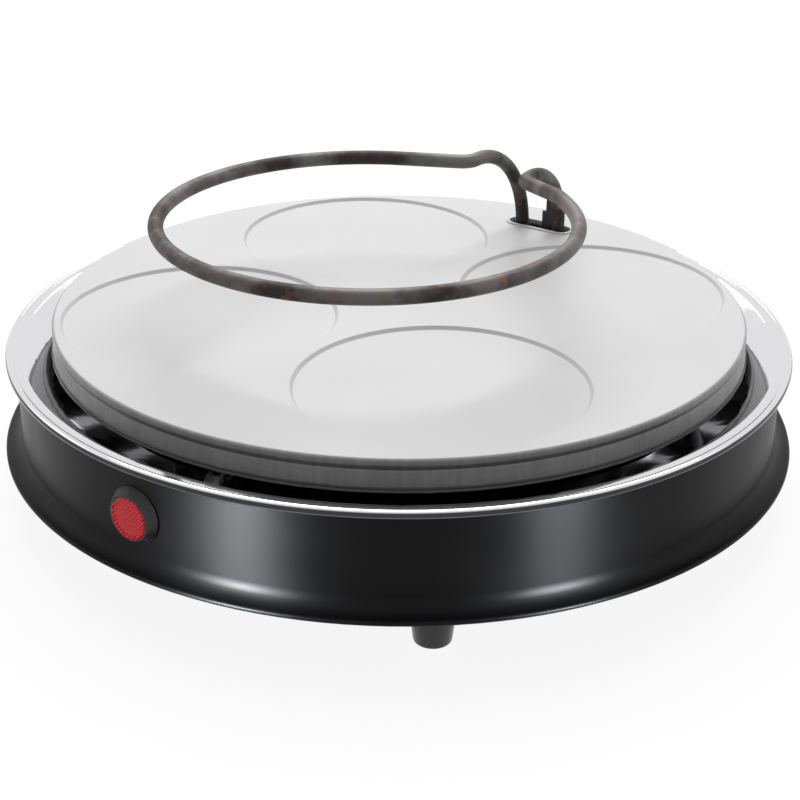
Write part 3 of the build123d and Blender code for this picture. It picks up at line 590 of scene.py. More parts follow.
def red_lens_plastic(base, groove_shade, middle, pitch):
    """Red polycarbonate, moulded over a dark lamp: clear red with painted shade in the grooves between the
    facets, so that the crown of each facet stands out bright, and a faint painted glow of its own."""
    material, tree, place = new_material("red_polycarbonate")
    centred = add_node(tree, "ShaderNodeVectorMath", {0: place, 1: middle}, operation="SUBTRACT")
    crossed = add_node(
        tree,
        "ShaderNodeVectorRotate",
        {"Vector": centred, "Angle": np.radians(45)},
        rotation_type="Y_AXIS",
    )
    cells = add_node(tree, "ShaderNodeVectorMath", {0: crossed, "Scale": 1 / pitch}, operation="SCALE")
    within = add_node(tree, "ShaderNodeVectorMath", {0: cells}, operation="FRACTION")
    from_crown = add_node(
        tree,
        "ShaderNodeVectorMath",
        {0: within, 1: (0.5, 0.5, 0.5)},
        operation="SUBTRACT",
    )
    distance = add_node(tree, "ShaderNodeVectorMath", {0: from_crown}, operation="ABSOLUTE")
    both_ways = add_node(tree, "ShaderNodeSeparateXYZ", {"Vector": distance})
    farther = add_node(
        tree,
        "ShaderNodeMath",
        {0: both_ways.outputs["X"], 1: both_ways.outputs["Z"]},
        operation="MAXIMUM",
    )
    # Painted shade: the red darkens towards each facet's edge, in the grooves between.
    groove = add_node(tree, "ShaderNodeMapRange", {"Value": farther, "From Min": 0.2, "From Max": 0.42})
    tone = add_node(tree, "ShaderNodeMix", {"Factor": groove, 6: base, 7: groove_shade}, data_type="RGBA")
    cloud = add_node(tree, "ShaderNodeTexNoise", {"Vector": place, "Scale": per_metre(5), "Detail": 1.0})
    roughness = add_node(
        tree,
        "ShaderNodeMapRange",
        {"Value": cloud, "From Min": 0.3, "From Max": 0.7, "To Min": 0.1, "To Max": 0.2},
    )
    shader = add_node(
        tree,
        "ShaderNodeBsdfPrincipled",
        {
            "Base Color": tone.outputs[2],
            "IOR": 1.58,
            "Specular IOR Level": 0.2,
            # Painted glow: the lens gives off a faint red light of its own.
            "Emission Color": tone.outputs[2],
            "Emission Strength": 0.5,
            "Roughness": roughness,
        },
    )
    add_node(tree, "ShaderNodeOutputMaterial", {"Surface": shader})
    return material


def moulded_plastic(name, base, low, high, grain_depth):
    """Injection-moulded phenolic or nylon, plain or finely spark-eroded by its mould."""
    material, tree, place = new_material(name)
    cloud = add_node(tree, "ShaderNodeTexNoise", {"Vector": place, "Scale": per_metre(12), "Detail": 2.0})
    roughness = add_node(
        tree,
        "ShaderNodeMapRange",
        {"Value": cloud, "From Min": 0.3, "From Max": 0.7, "To Min": low, "To Max": high},
    )
    grain = add_node(
        tree, "ShaderNodeTexNoise", {"Vector": place, "Scale": per_metre(0.5), "Detail": 2.0}
    )
    relief = add_node(tree, "ShaderNodeBump", {"Height": grain, "Distance": grain_depth * MM})
    shader = add_node(
        tree,
        "ShaderNodeBsdfPrincipled",
        {"Base Color": base, "IOR": 1.5, "Roughness": roughness, "Normal": relief},
    )
    add_node(tree, "ShaderNodeOutputMaterial", {"Surface": shader})
    return material


def worked_metal(name, base, low, high):
    """Zinc-plated or bare metal, rolled or turned, with faint scuffs."""
    material, tree, place = new_material(name)
    scuffs = add_node(
        tree, "ShaderNodeTexNoise", {"Vector": place, "Scale": per_metre(3.0), "Detail": 4.0}
    )
    scuffed = add_node(tree, "ShaderNodeMapRange", {"Value": scuffs, "From Min": 0.35, "From Max": 0.7})
    darker = tuple(channel * 0.8 for channel in base[:3]) + (1.0,)
    tone = add_node(tree, "ShaderNodeMix", {"Factor": scuffed, 6: base, 7: darker}, data_type="RGBA")
    roughness = add_node(
        tree,
        "ShaderNodeMapRange",
        {"Value": scuffs, "From Min": 0.3, "From Max": 0.7, "To Min": low, "To Max": high},
    )
    relief = add_node(tree, "ShaderNodeBump", {"Height": scuffs, "Distance": 0.01 * MM})
    shader = add_node(
        tree,
        "ShaderNodeBsdfPrincipled",
        {"Base Color": tone.outputs[2], "Metallic": 1.0, "Roughness": roughness, "Normal": relief},
    )
    add_node(tree, "ShaderNodeOutputMaterial", {"Surface": shader})
    return material


def unglazed_ceramic(base):
    """Steatite, pressed dry and fired: off-white, dull and slightly sandy."""
    material, tree, place = new_material("steatite")
    sand = add_node(tree, "ShaderNodeTexNoise", {"Vector": place, "Scale": per_metre(0.6), "Detail": 3.0})
    sandiness = add_node(tree, "ShaderNodeMapRange", {"Value": sand, "From Min": 0.35, "From Max": 0.7})
    darker = tuple(channel * 0.86 for channel in base[:3]) + (1.0,)
    tone = add_node(tree, "ShaderNodeMix", {"Factor": sandiness, 6: base, 7: darker}, data_type="RGBA")
    relief = add_node(tree, "ShaderNodeBump", {"Height": sand, "Distance": 0.02 * MM})
    shader = add_node(
        tree,
        "ShaderNodeBsdfPrincipled",
        {"Base Color": tone.outputs[2], "Roughness": 0.7, "IOR": 1.5, "Normal": relief},
    )
    add_node(tree, "ShaderNodeOutputMaterial", {"Surface": shader})
    return material


def woven_sleeving(name, base, stripe):
    """Glass-fibre sleeving woven round a wire: a fine diagonal braid about 0.8 mm apart."""
    material, tree, place = new_material(name)
    braid = add_node(
        tree,
        "ShaderNodeTexWave",
        {"Vector": place, "Scale": per_metre(0.8), "Distortion": 1.5},
        bands_direction="DIAGONAL",
    )
    tone = add_node(
        tree,
        "ShaderNodeMix",
        {"Factor": braid.outputs["Fac"], 6: base, 7: stripe},
        data_type="RGBA",
    )
    relief = add_node(tree, "ShaderNodeBump", {"Height": braid.outputs["Fac"], "Distance": 0.08 * MM})
    shader = add_node(
        tree,
        "ShaderNodeBsdfPrincipled",
        {"Base Color": tone.outputs[2], "Roughness": 0.75, "Normal": relief},
    )
    add_node(tree, "ShaderNodeOutputMaterial", {"Surface": shader})
    return material


def neon_glass(base):
    """A neon bulb: clear glass with its own faint orange light."""
    material, tree, place = new_material("neon_bulb_glass")
    glow = add_node(tree, "ShaderNodeTexNoise", {"Vector": place, "Scale": per_metre(3), "Detail": 1.0})
    warm = add_node(
        tree,
        "ShaderNodeMix",
        {"Factor": glow, 6: colour("ff7a3c"), 7: colour("ffb070")},
        data_type="RGBA",
    )
    shader = add_node(
        tree,
        "ShaderNodeBsdfPrincipled",
        {
            "Base Color": base,
            "Roughness": 0.1,
            "IOR": 1.5,
            "Emission Color": warm.outputs[2],
            "Emission Strength": 0.4,
        },
    )
    add_node(tree, "ShaderNodeOutputMaterial", {"Surface": shader})
    return material


# Settings


def length(name, description, default):
    """A length property, in metres, whose default is given in millimetres."""
    return bpy.props.FloatProperty(
        name=name,
        description=description,
        default=default * MM,
        unit="LENGTH",
        subtype="DISTANCE",
        precision=5,
        min=0.0,
    )


def paint(name, description, code):
    """A colour property, whose default is an sRGB hex code."""
    return bpy.props.FloatVectorProperty(
        name=name,
        description=description,
        default=colour(code),
        size=4,
        subtype="COLOR",
        min=0.0,
        max=1.0,
    )


def watts(name, description, default):
    """A lamp's power property."""
    return bpy.props.FloatProperty(name=name, description=description, default=default, unit="POWER")


class OvenHousingSettings(bpy.types.PropertyGroup):
    """Sizes and colour of the housing and its cover."""

    top: length("Wall top", "Height of the wall's upper edge above the bench", 64.4)
    brim_radius: length("Brim radius", "Radius of the outturned brim", 173.5)
    brim_top: length("Brim top", "Height of the brim's upper face above the bench", 23.0)
    brim_bend: length("Brim bend", "Radius between the wall and the brim", 6.0)
    enamel: paint("Enamel", "Colour of the enamel", "07070a")


class OvenPanSettings(bpy.types.PropertyGroup):
    """Sizes and colour of the polished pan."""

    bead_radius: length("Bead radius", "Radius of the rolled edge's section", 1.8)
    press_marks: length("Press marks", "Depth of the pleats that the press left", 0.06)
    plating: paint("Plating", "Colour of the plating", "dcdcde")
    # Painted shade: colour of the dark line round the pan's rolled edge.
    painted_shade_line: paint("Thin plating", "Colour of the plating where it is thin", "3c3c40")
    # Painted reflection: colour of the dark patch on the pan's slope.
    painted_reflection: paint("Heated plating", "Colour of the plating that heat has tinted", "2c2a33")


class OvenPlateSettings(bpy.types.PropertyGroup):
    """Sizes and colour of the baking plate."""

    radius: length("Radius", "Radius of the plate over its top band", 150.0)
    well_radius: length("Well radius", "Radius of each well at its upper edge", 59.3)
    well_circle: length("Well circle", "Radius of the circle of the wells' centres", 87.3)
    well_depth: length("Well depth", "Depth of each well", 1.5)
    draw_marks: length("Draw marks", "Depth of the upright waves in the skirt", 0.06)
    coating: paint("Coating", "Colour of the coating", "dcdcdc")


class OvenElementSettings(bpy.types.PropertyGroup):
    """Sizes and colours of the heating elements."""

    tube_radius: length("Tube radius", "Radius of the heating tubes", 3.25)
    sheath: paint("Sheath", "Colour of the sheath where it stays cooler", "74706f")
    tint: paint("Tint", "Colour of the sheath where heat has tinted it", "3a3431")
    rust: paint("Rust", "Colour of the small rusty spots", "8f6552")
    bracket: paint("Bracket", "Colour of the bracket between the legs", "17171a")


class OvenLampSettings(bpy.types.PropertyGroup):
    """Sizes and colours of the pilot lamp and the cable gland."""

    facet_pitch: length("Facet pitch", "Distance between the lens's facets", 1.4)
    facet_depth: length("Facet depth", "Height of the lens's facets", 0.4)
    lens: paint("Lens", "Colour of the lens", "e2262c")
    # Painted shade: the darker red in the grooves between the lens's facets.
    lens_groove_shade: paint("Lens grooves", "Colour between the lens's facets", "8c0d14")
    moulding: paint("Moulding", "Colour of the bezel and the gland", "0e0e10")


class OvenFootSettings(bpy.types.PropertyGroup):
    """Colour and edge of the feet."""

    edge_radius: length("Edge radius", "Rounding of each foot's lower edge", 1.4)
    moulding: paint("Moulding", "Colour of the feet", "0e0e10")


class OvenFittingSettings(bpy.types.PropertyGroup):
    """Colours of the fittings inside."""

    zinc: paint("Zinc", "Colour of plated steel", "c4c4c6")
    brass: paint("Brass", "Colour of the terminals", "c8a765")
    ceramic: paint("Ceramic", "Colour of the ceramic pieces", "e6e1d3")
    sleeving: paint("Sleeving", "Colour of the leads' sleeving", "ded9cc")
    earth: paint("Earth sleeving", "Colour of the earth lead", "5d9b32")


class OvenStageSettings(bpy.types.PropertyGroup):
    """Floor, light and camera."""

    floor: paint("Floor", "Colour of the floor", "606060")
    floor_lift: bpy.props.FloatProperty(
        name="Floor lift", description="Light added to the floor where it is seen", default=0.9
    )
    fill: bpy.props.FloatProperty(
        name="Fill", description="Strength of the even light from all round", default=0.25
    )
    overhead: watts("Overhead light", "Power of the large overhead lamp", 87.0)
    side: watts("Side light", "Power of each side lamp", 1.5)
    left_strip: watts("Left strip", "Power of the left low strip", 62.0)
    right_strip: watts("Right strip", "Power of the right low strip", 34.0)
    lens_length: bpy.props.FloatProperty(
        name="Lens", description="Focal length of the camera", default=72.54, unit="CAMERA"
    )


# Operators


class OVEN_OT_housing(bpy.types.Operator):
    """Make the enamelled housing and dress the cover under it."""

    bl_idname = "oven.housing"
    bl_label = "Housing"

    def execute(self, context):
        settings = context.scene.oven_housing
        enamel = satin_black_enamel(settings.enamel)
        top = settings.top / MM
        brim = settings.brim_radius / MM
        brim_top = settings.brim_top / MM
        bend = settings.brim_bend / MM
        sheet = 1.0
        hem_width = 3.2
        hem_drop = 2.0
        inner = HOUSING_RADIUS - sheet
        hem = brim - hem_width
        seam = top - 20
        profile = rounded(
            [
                (inner, seam),
                (inner, top),
                (HOUSING_RADIUS, top),
                (HOUSING_RADIUS, brim_top),
                (brim, brim_top),
                (brim, brim_top - hem_drop),
                (hem, brim_top - hem_drop),
                (hem, brim_top - sheet),
                (inner, brim_top - sheet),
                (inner, seam),
            ],
            [0.3, 0.3, bend, 0.9, 0.9, 0.2, 0.2, bend + sheet],
        )
        shape = revolved(finer(profile[:-1], 4.0), 512)
        make_piece("housing", shape, enamel, BASE, ["housing_wall"])
        dress("bottom_cover", enamel, edge=0.3)
        return {"FINISHED"}


class OVEN_OT_pan(bpy.types.Operator):
    """Make the polished pan with its rolled edge."""

    bl_idname = "oven.pan"
    bl_label = "Pan"

    def execute(self, context):
        settings = context.scene.oven_pan
        plating = bright_plated_steel(settings.plating, settings.painted_shade_line, settings.painted_reflection)
        bead = settings.bead_radius / MM
        marks = settings.press_marks / MM
        overhang = 4.1
        bead_rise = 0.8
        floor_radius = 133
        wall_radius = 141
        wall_top = 54.6
        land_radius = 163.5
        bead_centre = (HOUSING_RADIUS + overhang - bead, LAND_TOP + bead_rise - bead)
        upper_lift = LAND_TOP - bead_centre[1]
        lower_lift = upper_lift - PAN_SHEET
        start = 180 - np.degrees(np.arcsin(upper_lift / bead))
        end = -180 - np.degrees(np.arcsin(lower_lift / bead))
        curl = arc(bead_centre, bead, start, end, 40)
        upper = rounded(
            [
                (0, FLOOR_TOP),
                (floor_radius, FLOOR_TOP),
                (wall_radius, wall_top),
                (land_radius, LAND_TOP),
                curl[0],
            ],
            [3.0, 4.0, 2.0],
        )
        # The lower face lies about a sheet's thickness from the upper one, measured square to it.
        lower = rounded(
            [
                curl[-1],
                (land_radius + 0.1, LAND_TOP - PAN_SHEET),
                (wall_radius + 0.3, wall_top - 0.7),
                (floor_radius + 0.5, FLOOR_TOP - PAN_SHEET),
                (0, FLOOR_TOP - PAN_SHEET),
            ],
            [1.2, 4.8, 3.8],
        )

        def press_waves(radius, height, turn):
            """Low waves round the slope, and at its outer edge a short pleat every few degrees:
            a sum of narrow bells at uneven turns, which fade out along the slope."""
            slope_foot, slope_head, pleat_foot = 143, 162, 152
            pleat_spacing, pleat_width = 6.9, 0.4
            fade = np.clip((radius - slope_foot) / 5, 0, 1)
            fade = fade * np.clip((slope_head - radius) / 4, 0, 1)
            wave = 0.25 * np.sin(23 * turn + 0.9) * np.sin(9 * turn)
            number = np.arange(360 // pleat_spacing)
            pleat_turns = np.radians(number * pleat_spacing + 2.4 * np.sin(number * 1.7))
            gap = np.angle(np.exp(1j * (turn[..., None] - pleat_turns)))
            pleat = np.exp(-((gap / np.radians(pleat_width)) ** 2)).sum(-1)
            pleat = pleat * np.clip((radius - pleat_foot) / 5, 0, 1)
            return 0 * radius, marks * fade * (wave + pleat)

        profile = np.concatenate([upper[:-1], curl, lower[1:]])
        shape = revolved(finer(profile, 4.0), 480, wrap_profile=False, ripple=press_waves)
        make_piece("pan", shape, plating, BASE, ["reflector_pan"], 50)
        return {"FINISHED"}


class OVEN_OT_plate(bpy.types.Operator):
    """Make the baking plate with its wells, skirt and slot."""

    bl_idname = "oven.plate"
    bl_label = "Baking plate"

    def stadium(self, offset, height):
        """A loop round the slot: its straight sides and round ends, moved out by an offset."""
        radius = SLOT_END_RADIUS + offset
        right = arc((SLOT_HALF_STRAIGHT, LEG_SETBACK), radius, -90, 90, 32)
        left = arc((-SLOT_HALF_STRAIGHT, LEG_SETBACK), radius, 90, 270, 32)
        loop = np.concatenate([right, left])
        return np.column_stack([loop, np.full(len(loop), float(height))])

    def land(self, height, rim_radius, well_edges, slot_offset):
        """A flat face between the rim's loop and the loops of the wells and the slot.

        The loops are joined by a Delaunay net, and a triangle stays where its middle lies
        inside the rim and outside every hole.
        """
        turn = np.linspace(0, 2 * np.pi, PLATE_SIDES, endpoint=False)
        rim = np.column_stack([rim_radius * np.cos(turn), rim_radius * np.sin(turn)])
        loops = [rim, *[edge[:, :2] for edge in well_edges], self.stadium(slot_offset, 0)[:, :2]]
        starts = np.cumsum([0] + [len(loop) for loop in loops])
        edges = np.concatenate(
            [
                np.column_stack([np.arange(len(loop)), np.roll(np.arange(len(loop)), -1)]) + start
                for loop, start in zip(loops, starts)
            ]
        )
        corners, _, triangles, *_ = delaunay_2d_cdt(
            np.concatenate(loops).tolist(), edges.tolist(), [], 1, 1e-5, False
        )
        corners = np.array(corners)
        triangles = np.array(triangles)
        middle = corners[triangles].mean(axis=1)
        keep = np.ones(len(triangles), bool)
        for edge in well_edges:
            centre = edge[:, :2].mean(axis=0)
            reach = np.linalg.norm(edge[0, :2] - centre)
            keep &= np.linalg.norm(middle - centre, axis=1) > reach * 0.9999
        beside = np.clip(np.abs(middle[:, 0]) - SLOT_HALF_STRAIGHT, 0, None)
        slot_edge = SLOT_END_RADIUS + slot_offset
        keep &= np.hypot(beside, middle[:, 1] - LEG_SETBACK) > slot_edge - 0.01
        triangles = triangles[keep]
        points = np.column_stack([corners, np.full(len(corners), height)])
        return points, np.column_stack([triangles, triangles[:, 2]])

    def execute(self, context):
        settings = context.scene.oven_plate
        # From below: the hem, painted shade in the fold above it, the drawn wall, a painted highlight along
        # its upper edge, painted shade in the groove, and the lip under the coating.
        skirt_tones_and_painted_light = (
            (63.0, "8c8c8c"),
            (63.9, "a4a4a4"),
            (64.3, "2e2e2e"),
            (64.9, "383838"),
            (65.3, "a0a0a0"),
            (71.0, "aaaaaa"),
            (71.5, "c8c8c8"),
            (71.9, "5c5c5c"),
            (73.2, "585858"),
            (73.7, "9a9a9a"),
            (75.4, "b0b0b0"),
        )
        coating = grey_release_coating(settings.coating, skirt_tones_and_painted_light)
        radius = settings.radius / MM
        well = settings.well_radius / MM
        circle = settings.well_circle / MM
        depth = settings.well_depth / MM
        marks = settings.draw_marks / MM
        lip = radius - 2.0
        land_below = 147.0
        collar_width = 2.3
        underside = PLATE_TOP - PLATE_SHEET

        def well_shape(height, turn):
            """A shallow dish: a flat lip, a rounded step down and a flat floor. With it comes
            the loop of the lip's outer edge."""
            lip_width, step_run, floor_ring, sides = 1.0, 1.2, 6, 256
            profile = rounded(
                [(well + lip_width, 0), (well, 0), (well - step_run, -depth), (0, -depth)],
                [0.5, 0.5],
                steps=6,
            )
            profile = np.insert(profile, -1, (well - floor_ring, -depth), axis=0)
            points, faces = revolved(profile, sides, wrap_profile=False)
            centre = circle * np.array([np.cos(turn), np.sin(turn), 0])
            points = points + centre + np.array([0, 0, height])
            return (points, faces), points[:sides]

        shapes = []
        for height, slot_offset, rim in ((PLATE_TOP, collar_width, lip), (underside, 0.0, land_below)):
            edges = []
            for corner in range(4):
                dish, edge = well_shape(height, np.radians(45 + 90 * corner))
                shapes.append(dish)
                edges.append(edge)
            shapes.append(self.land(height, rim, edges, slot_offset))

        band = PLATE_TOP - 4.2
        groove = 0.8
        hem = radius + 0.9
        hem_top = PLATE_TOP - 11.7
        hem_foot = PLATE_TOP - 13.3
        skirt = rounded(
            [
                (lip, PLATE_TOP),
                (radius, PLATE_TOP),
                (radius, band),
                (radius - groove, band - 0.5),
                (radius + 0.3, hem_top + 0.6),
                (hem, hem_top),
                (hem, hem_foot),
                (radius - 1.1, hem_foot),
                (radius - 1.9, underside),
                (land_below, underside),
            ],
            [1.4, 0.3, 0.3, 0.3, 0.25, 0.3, 0.4, 0.6],
            steps=5,
        )

        def draw_waves(grid_radius, height, turn):
            """Upright waves of uneven spacing, only in the skirt between the band and the hem:
            a sum of 61, 97 and 37 waves in the whole round."""
            fade = np.clip((band - 0.2 - height) / 2.5, 0, 1)
            fade = fade * np.clip((grid_radius - (radius - 1)) * 2, 0, 1)
            wave = np.sin(61 * turn) + 0.7 * np.sin(97 * turn + 1.3) + 0.5 * np.sin(37 * turn + 4)
            return marks * fade * wave, 0 * grid_radius

        shapes.append(revolved(finer(skirt, 1.2), PLATE_SIDES, wrap_profile=False, ripple=draw_waves))

        rise = 0.9
        collar = rounded(
            [(collar_width, 0), (1.7, 0), (1.6, rise), (0, rise), (0, -PLATE_SHEET)],
            [0.35, 0.35, 0.35],
            steps=4,
        )
        rings = np.stack([self.stadium(offset, PLATE_TOP + height) for offset, height in collar])
        faces = grid_faces(rings.shape[0], rings.shape[1], False, True)
        shapes.append((rings.reshape(-1, 3), faces))
        make_piece("plate", joined(*shapes), coating, PLATE, ["baking_plate"], 60)
        return {"FINISHED"}


class OVEN_OT_elements(bpy.types.Operator):
    """Make the two heating elements and dress what holds them."""

    bl_idname = "oven.elements"
    bl_label = "Heating elements"

    def execute(self, context):
        settings = context.scene.oven_elements
        sheath = heat_tinted_steel(settings.sheath, settings.tint, settings.rust)
        radius = settings.tube_radius / MM

        arch_height = LOOP_HEIGHT - 9.0
        dip_run = 11.5
        left_bends = [46.4, 8]
        right_bends = [60, 18.6, 28.9]
        centre = np.array(LOOP_CENTRE)
        left_end = spot(LOOP_RADIUS, LEFT_END_ANGLE, centre)
        right_end = spot(LOOP_RADIUS, RIGHT_END_ANGLE, centre)
        right_heading = spot(1.0, RIGHT_END_ANGLE + 90)
        left_slope = np.tan(np.radians(LEFT_END_ANGLE - 90))
        left_bend_y = left_end[1] + (-LEG_X - left_end[0]) * left_slope
        right_run = (LEG_X - right_end[0]) / right_heading[0]
        right_bend_y = right_end[1] + right_run * right_heading[1]
        dip = right_end + dip_run * right_heading
        left_leg = rounded(
            [
                (-LEG_X, LEG_SETBACK, LEG_END),
                (-LEG_X, LEG_SETBACK, LOOP_HEIGHT),
                (-LEG_X, left_bend_y, LOOP_HEIGHT),
                (*left_end, LOOP_HEIGHT),
            ],
            left_bends,
            steps=24,
        )
        right_leg = rounded(
            [
                (*right_end, LOOP_HEIGHT),
                (*dip, LOOP_HEIGHT),
                (LEG_X, right_bend_y, arch_height),
                (LEG_X, LEG_SETBACK, arch_height),
                (LEG_X, LEG_SETBACK, LEG_END),
            ],
            right_bends,
            steps=20,
        )
        loop = arc(centre, LOOP_RADIUS, LEFT_END_ANGLE, 360 + RIGHT_END_ANGLE, 200)
        loop = np.column_stack([loop, np.full(len(loop), LOOP_HEIGHT)])
        route = finer(np.concatenate([left_leg[:-1], loop, right_leg[1:]]), 3.0)
        upper = tube(route, radius, 32)
        make_piece("upper_element", upper, sheath, BASE, ["upper_heating_element"])

        lower_height = 56.0
        lower_radius = 90.0
        leg_run = 12.0
        leg_bend = 10
        first_angle = 106
        last_angle = 134
        first_end = spot(lower_radius, first_angle)
        last_end = spot(lower_radius, last_angle)
        first_leg = first_end + spot(leg_run, first_angle + 90)
        last_leg = last_end + spot(leg_run, last_angle - 90)
        first = rounded(
            [(*first_leg, LEG_END), (*first_leg, lower_height), (*first_end, lower_height)],
            [leg_bend],
            steps=16,
        )
        last = rounded(
            [(*last_end, lower_height), (*last_leg, lower_height), (*last_leg, LEG_END)],
            [leg_bend],
            steps=16,
        )
        loop = arc((0, 0), lower_radius, first_angle, last_angle - 360, 200)
        loop = np.column_stack([loop, np.full(len(loop), lower_height)])
        lower = tube(finer(np.concatenate([first[:-1], loop, last[1:]]), 3.0), radius, 24)
        make_piece("lower_element", lower, sheath, BASE, ["lower_heating_element"])
        black = moulded_plastic("black_bracket_enamel", settings.bracket, 0.35, 0.45, 0.01)
        dress("element_bracket", black, edge=0.15)
        return {"FINISHED"}


class OVEN_OT_lamp(bpy.types.Operator):
    """Make the pilot lamp in the wall and the cable gland at the back."""

    bl_idname = "oven.lamp"
    bl_label = "Lamp and gland"

    def execute(self, context):
        settings = context.scene.oven_lamp
        moulding = moulded_plastic("black_nylon", settings.moulding, 0.4, 0.5, 0.01)
        pitch = settings.facet_pitch / MM
        facet_depth = settings.facet_depth / MM
        lamp_origin = np.array([*spot(HOUSING_RADIUS, LAMP_ANGLE), LAMP_HEIGHT])
        lens_plastic = red_lens_plastic(
            settings.lens, settings.lens_groove_shade, tuple(lamp_origin * MM), settings.facet_pitch
        )

        # The mouldings' flanges stand this far off the wall.
        off_wall = 0.05
        barrel, barrel_foot = 9.0, -15
        flange, nose, proud = 11.7, 9.4, 4.0
        seat, seat_height = 8.45, 1.5
        hollow, hollow_foot = 7.2, -11
        bezel_profile = rounded(
            [
                (0, barrel_foot),
                (barrel, barrel_foot),
                (barrel, off_wall),
                (flange, off_wall),
                (flange, off_wall + 0.3),
                (nose, proud),
                (seat, proud),
                (seat, seat_height),
                (hollow, seat_height),
                (hollow, hollow_foot),
                (0, hollow_foot),
            ],
            [0.3, 0, 0.1, 0.15, 0.35, 0.25, 0, 0.2, 0.2],
            steps=4,
        )
        points, faces = revolved(bezel_profile, 128, wrap_profile=False)
        bezel = (stood_on(points, lamp_origin, LAMP_ANGLE), faces)
        make_piece("lamp_rim", bezel, moulding, BASE, ["lamp_bezel"])

        # The lens's face is flat before its facets sink, then comes its rounded edge, its side
        # and its back.
        lens_radius = 8.4
        lens_front = 4.5
        lens_back = seat_height + 0.05
        face = np.arange(0.05, 7.9, 0.15)
        edge_rings = [8.0, 8.2, 8.32, 8.38, lens_radius, lens_radius, 0.0]
        edge_heights = [4.45, 4.36, 4.22, 4.06, 3.9, lens_back, lens_back]

        def facets(grid_radius, height, turn):
            """A crossed pattern of pyramids: each point sinks by its distance from the nearest
            ridge of either diagonal set."""
            x = grid_radius * np.cos(turn)
            y = grid_radius * np.sin(turn)
            first = np.abs((x + y) / np.sqrt(2) / pitch % 1 - 0.5) * 2
            second = np.abs((x - y) / np.sqrt(2) / pitch % 1 - 0.5) * 2
            sink = facet_depth * np.maximum(first, second)
            dome = 0.35 * (grid_radius / lens_radius) ** 2
            front = (height > lens_front - 0.02) & (grid_radius < 7.95)
            return 0 * grid_radius, np.where(front, -sink * (grid_radius < 7.85) - dome, 0)

        radii = np.concatenate([[0], face, edge_rings])
        heights = np.concatenate([[lens_front], np.full(len(face), lens_front), edge_heights])
        profile = np.column_stack([radii, heights])
        points, faces = revolved(profile, 360, wrap_profile=False, ripple=facets)
        lens = (stood_on(points, lamp_origin, LAMP_ANGLE), faces)
        make_piece("lamp_window", lens, lens_plastic, BASE, ["lamp_lens"], 12)

        gland_origin = np.array([*spot(HOUSING_RADIUS, GLAND_ANGLE), GLAND_HEIGHT])
        bore, collar, thread = 3.7, 9.0, 6.4
        gland_head = off_wall + 3.0
        gland_foot = off_wall - 14.0
        gland_profile = rounded(
            [
                (bore, gland_foot),
                (bore, gland_head),
                (collar, gland_head),
                (collar, off_wall),
                (thread, off_wall),
                (thread, gland_foot),
                (bore, gland_foot),
            ],
            [0.5, 0.8, 0.1, 0.1, 0.4],
            steps=5,
        )
        points, faces = revolved(gland_profile[:-1], 96)
        gland = (stood_on(points, gland_origin, GLAND_ANGLE), faces)
        make_piece("inlet_gland", gland, moulding, BASE, ["cable_gland"])
        dress("gland_nut", moulding, edge=0.3)
        dress("lamp_bulb", neon_glass(colour("ffd9c0")))
        return {"FINISHED"}


class OVEN_OT_feet(bpy.types.Operator):
    """Make the four tapered feet."""

    bl_idname = "oven.feet"
    bl_label = "Feet"

    def execute(self, context):
        settings = context.scene.oven_feet
        gloss = moulded_plastic("gloss_phenolic", settings.moulding, 0.12, 0.2, 0.003)
        edge = settings.edge_radius / MM
        foot, head, height = 7.4, 9.7, 20
        pocket, pocket_depth, screw_hole = 4.6, 9, 2.05
        seam = (pocket, 4)
        profile = rounded(
            [
                seam,
                (pocket, 0),
                (foot, 0),
                (head, height),
                (screw_hole, height),
                (screw_hole, pocket_depth),
                (pocket, pocket_depth),
                seam,
            ],
            [0.5, edge, 0.4, 0.1, 0.1, 0.3],
            steps=6,
        )
        for name in ("foot_front_left", "foot_front_right", "foot_rear_left", "foot_rear_right"):
            low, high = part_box(name)
            centre = np.array([(low.x + high.x) / 2, (low.y + high.y) / 2, 0]) / MM
            points, faces = revolved(profile[:-1], 96)
            shape = (points + centre, faces)
            make_piece(f"{name}_moulding", shape, gloss, BASE, [name])
        return {"FINISHED"}


class OVEN_OT_fittings(bpy.types.Operator):
    """Dress the fittings, terminals and leads inside."""

    bl_idname = "oven.fittings"
    bl_label = "Fittings and leads"

    def execute(self, context):
        settings = context.scene.oven_fittings
        zinc = worked_metal("zinc_plated_steel", settings.zinc, 0.25, 0.4)
        brass = worked_metal("bare_brass", settings.brass, 0.25, 0.38)
        ceramic = unglazed_ceramic(settings.ceramic)
        phenolic = moulded_plastic("brown_phenolic", colour("2a221d"), 0.4, 0.5, 0.01)
        sleeving = woven_sleeving("glass_sleeving", settings.sleeving, colour("b9b3a4"))
        earth = woven_sleeving("earth_sleeving", settings.earth, colour("e3cf2f"))
        plated = {
            "upper_element_flange": 0.25,
            "lower_element_flange": 0.25,
            "element_rests": 0.3,
            "plate_posts": 0.3,
            "tie_posts": 0.2,
            "flange_screws": 0.35,
            "flange_nuts": 0.2,
            "post_nuts": 0.25,
            "cover_screws": 0.4,
            "foot_screws": 0.5,
            "foot_nuts": 0.25,
            "block_screws": 0.3,
            "thermostat_screws": 0.3,
            "thermostat_nuts": 0.15,
            "earth_screw": 0.4,
            "earth_nut": 0.2,
            "lamp_clip": 0.1,
        }
        for name, edge in plated.items():
            dress(name, zinc, edge)
        for name in ("element_terminals", "thermostat_terminals", "lamp_pins", "earth_tag"):
            dress(name, brass, 0.08)
        dress("element_insulators", ceramic, 0.3)
        dress("terminal_block", ceramic, 0.4)
        dress("thermostat", phenolic, 0.3)
        dress("element_leads", sleeving)
        dress("lamp_leads", sleeving)
        dress("earth_lead", earth)
        return {"FINISHED"}


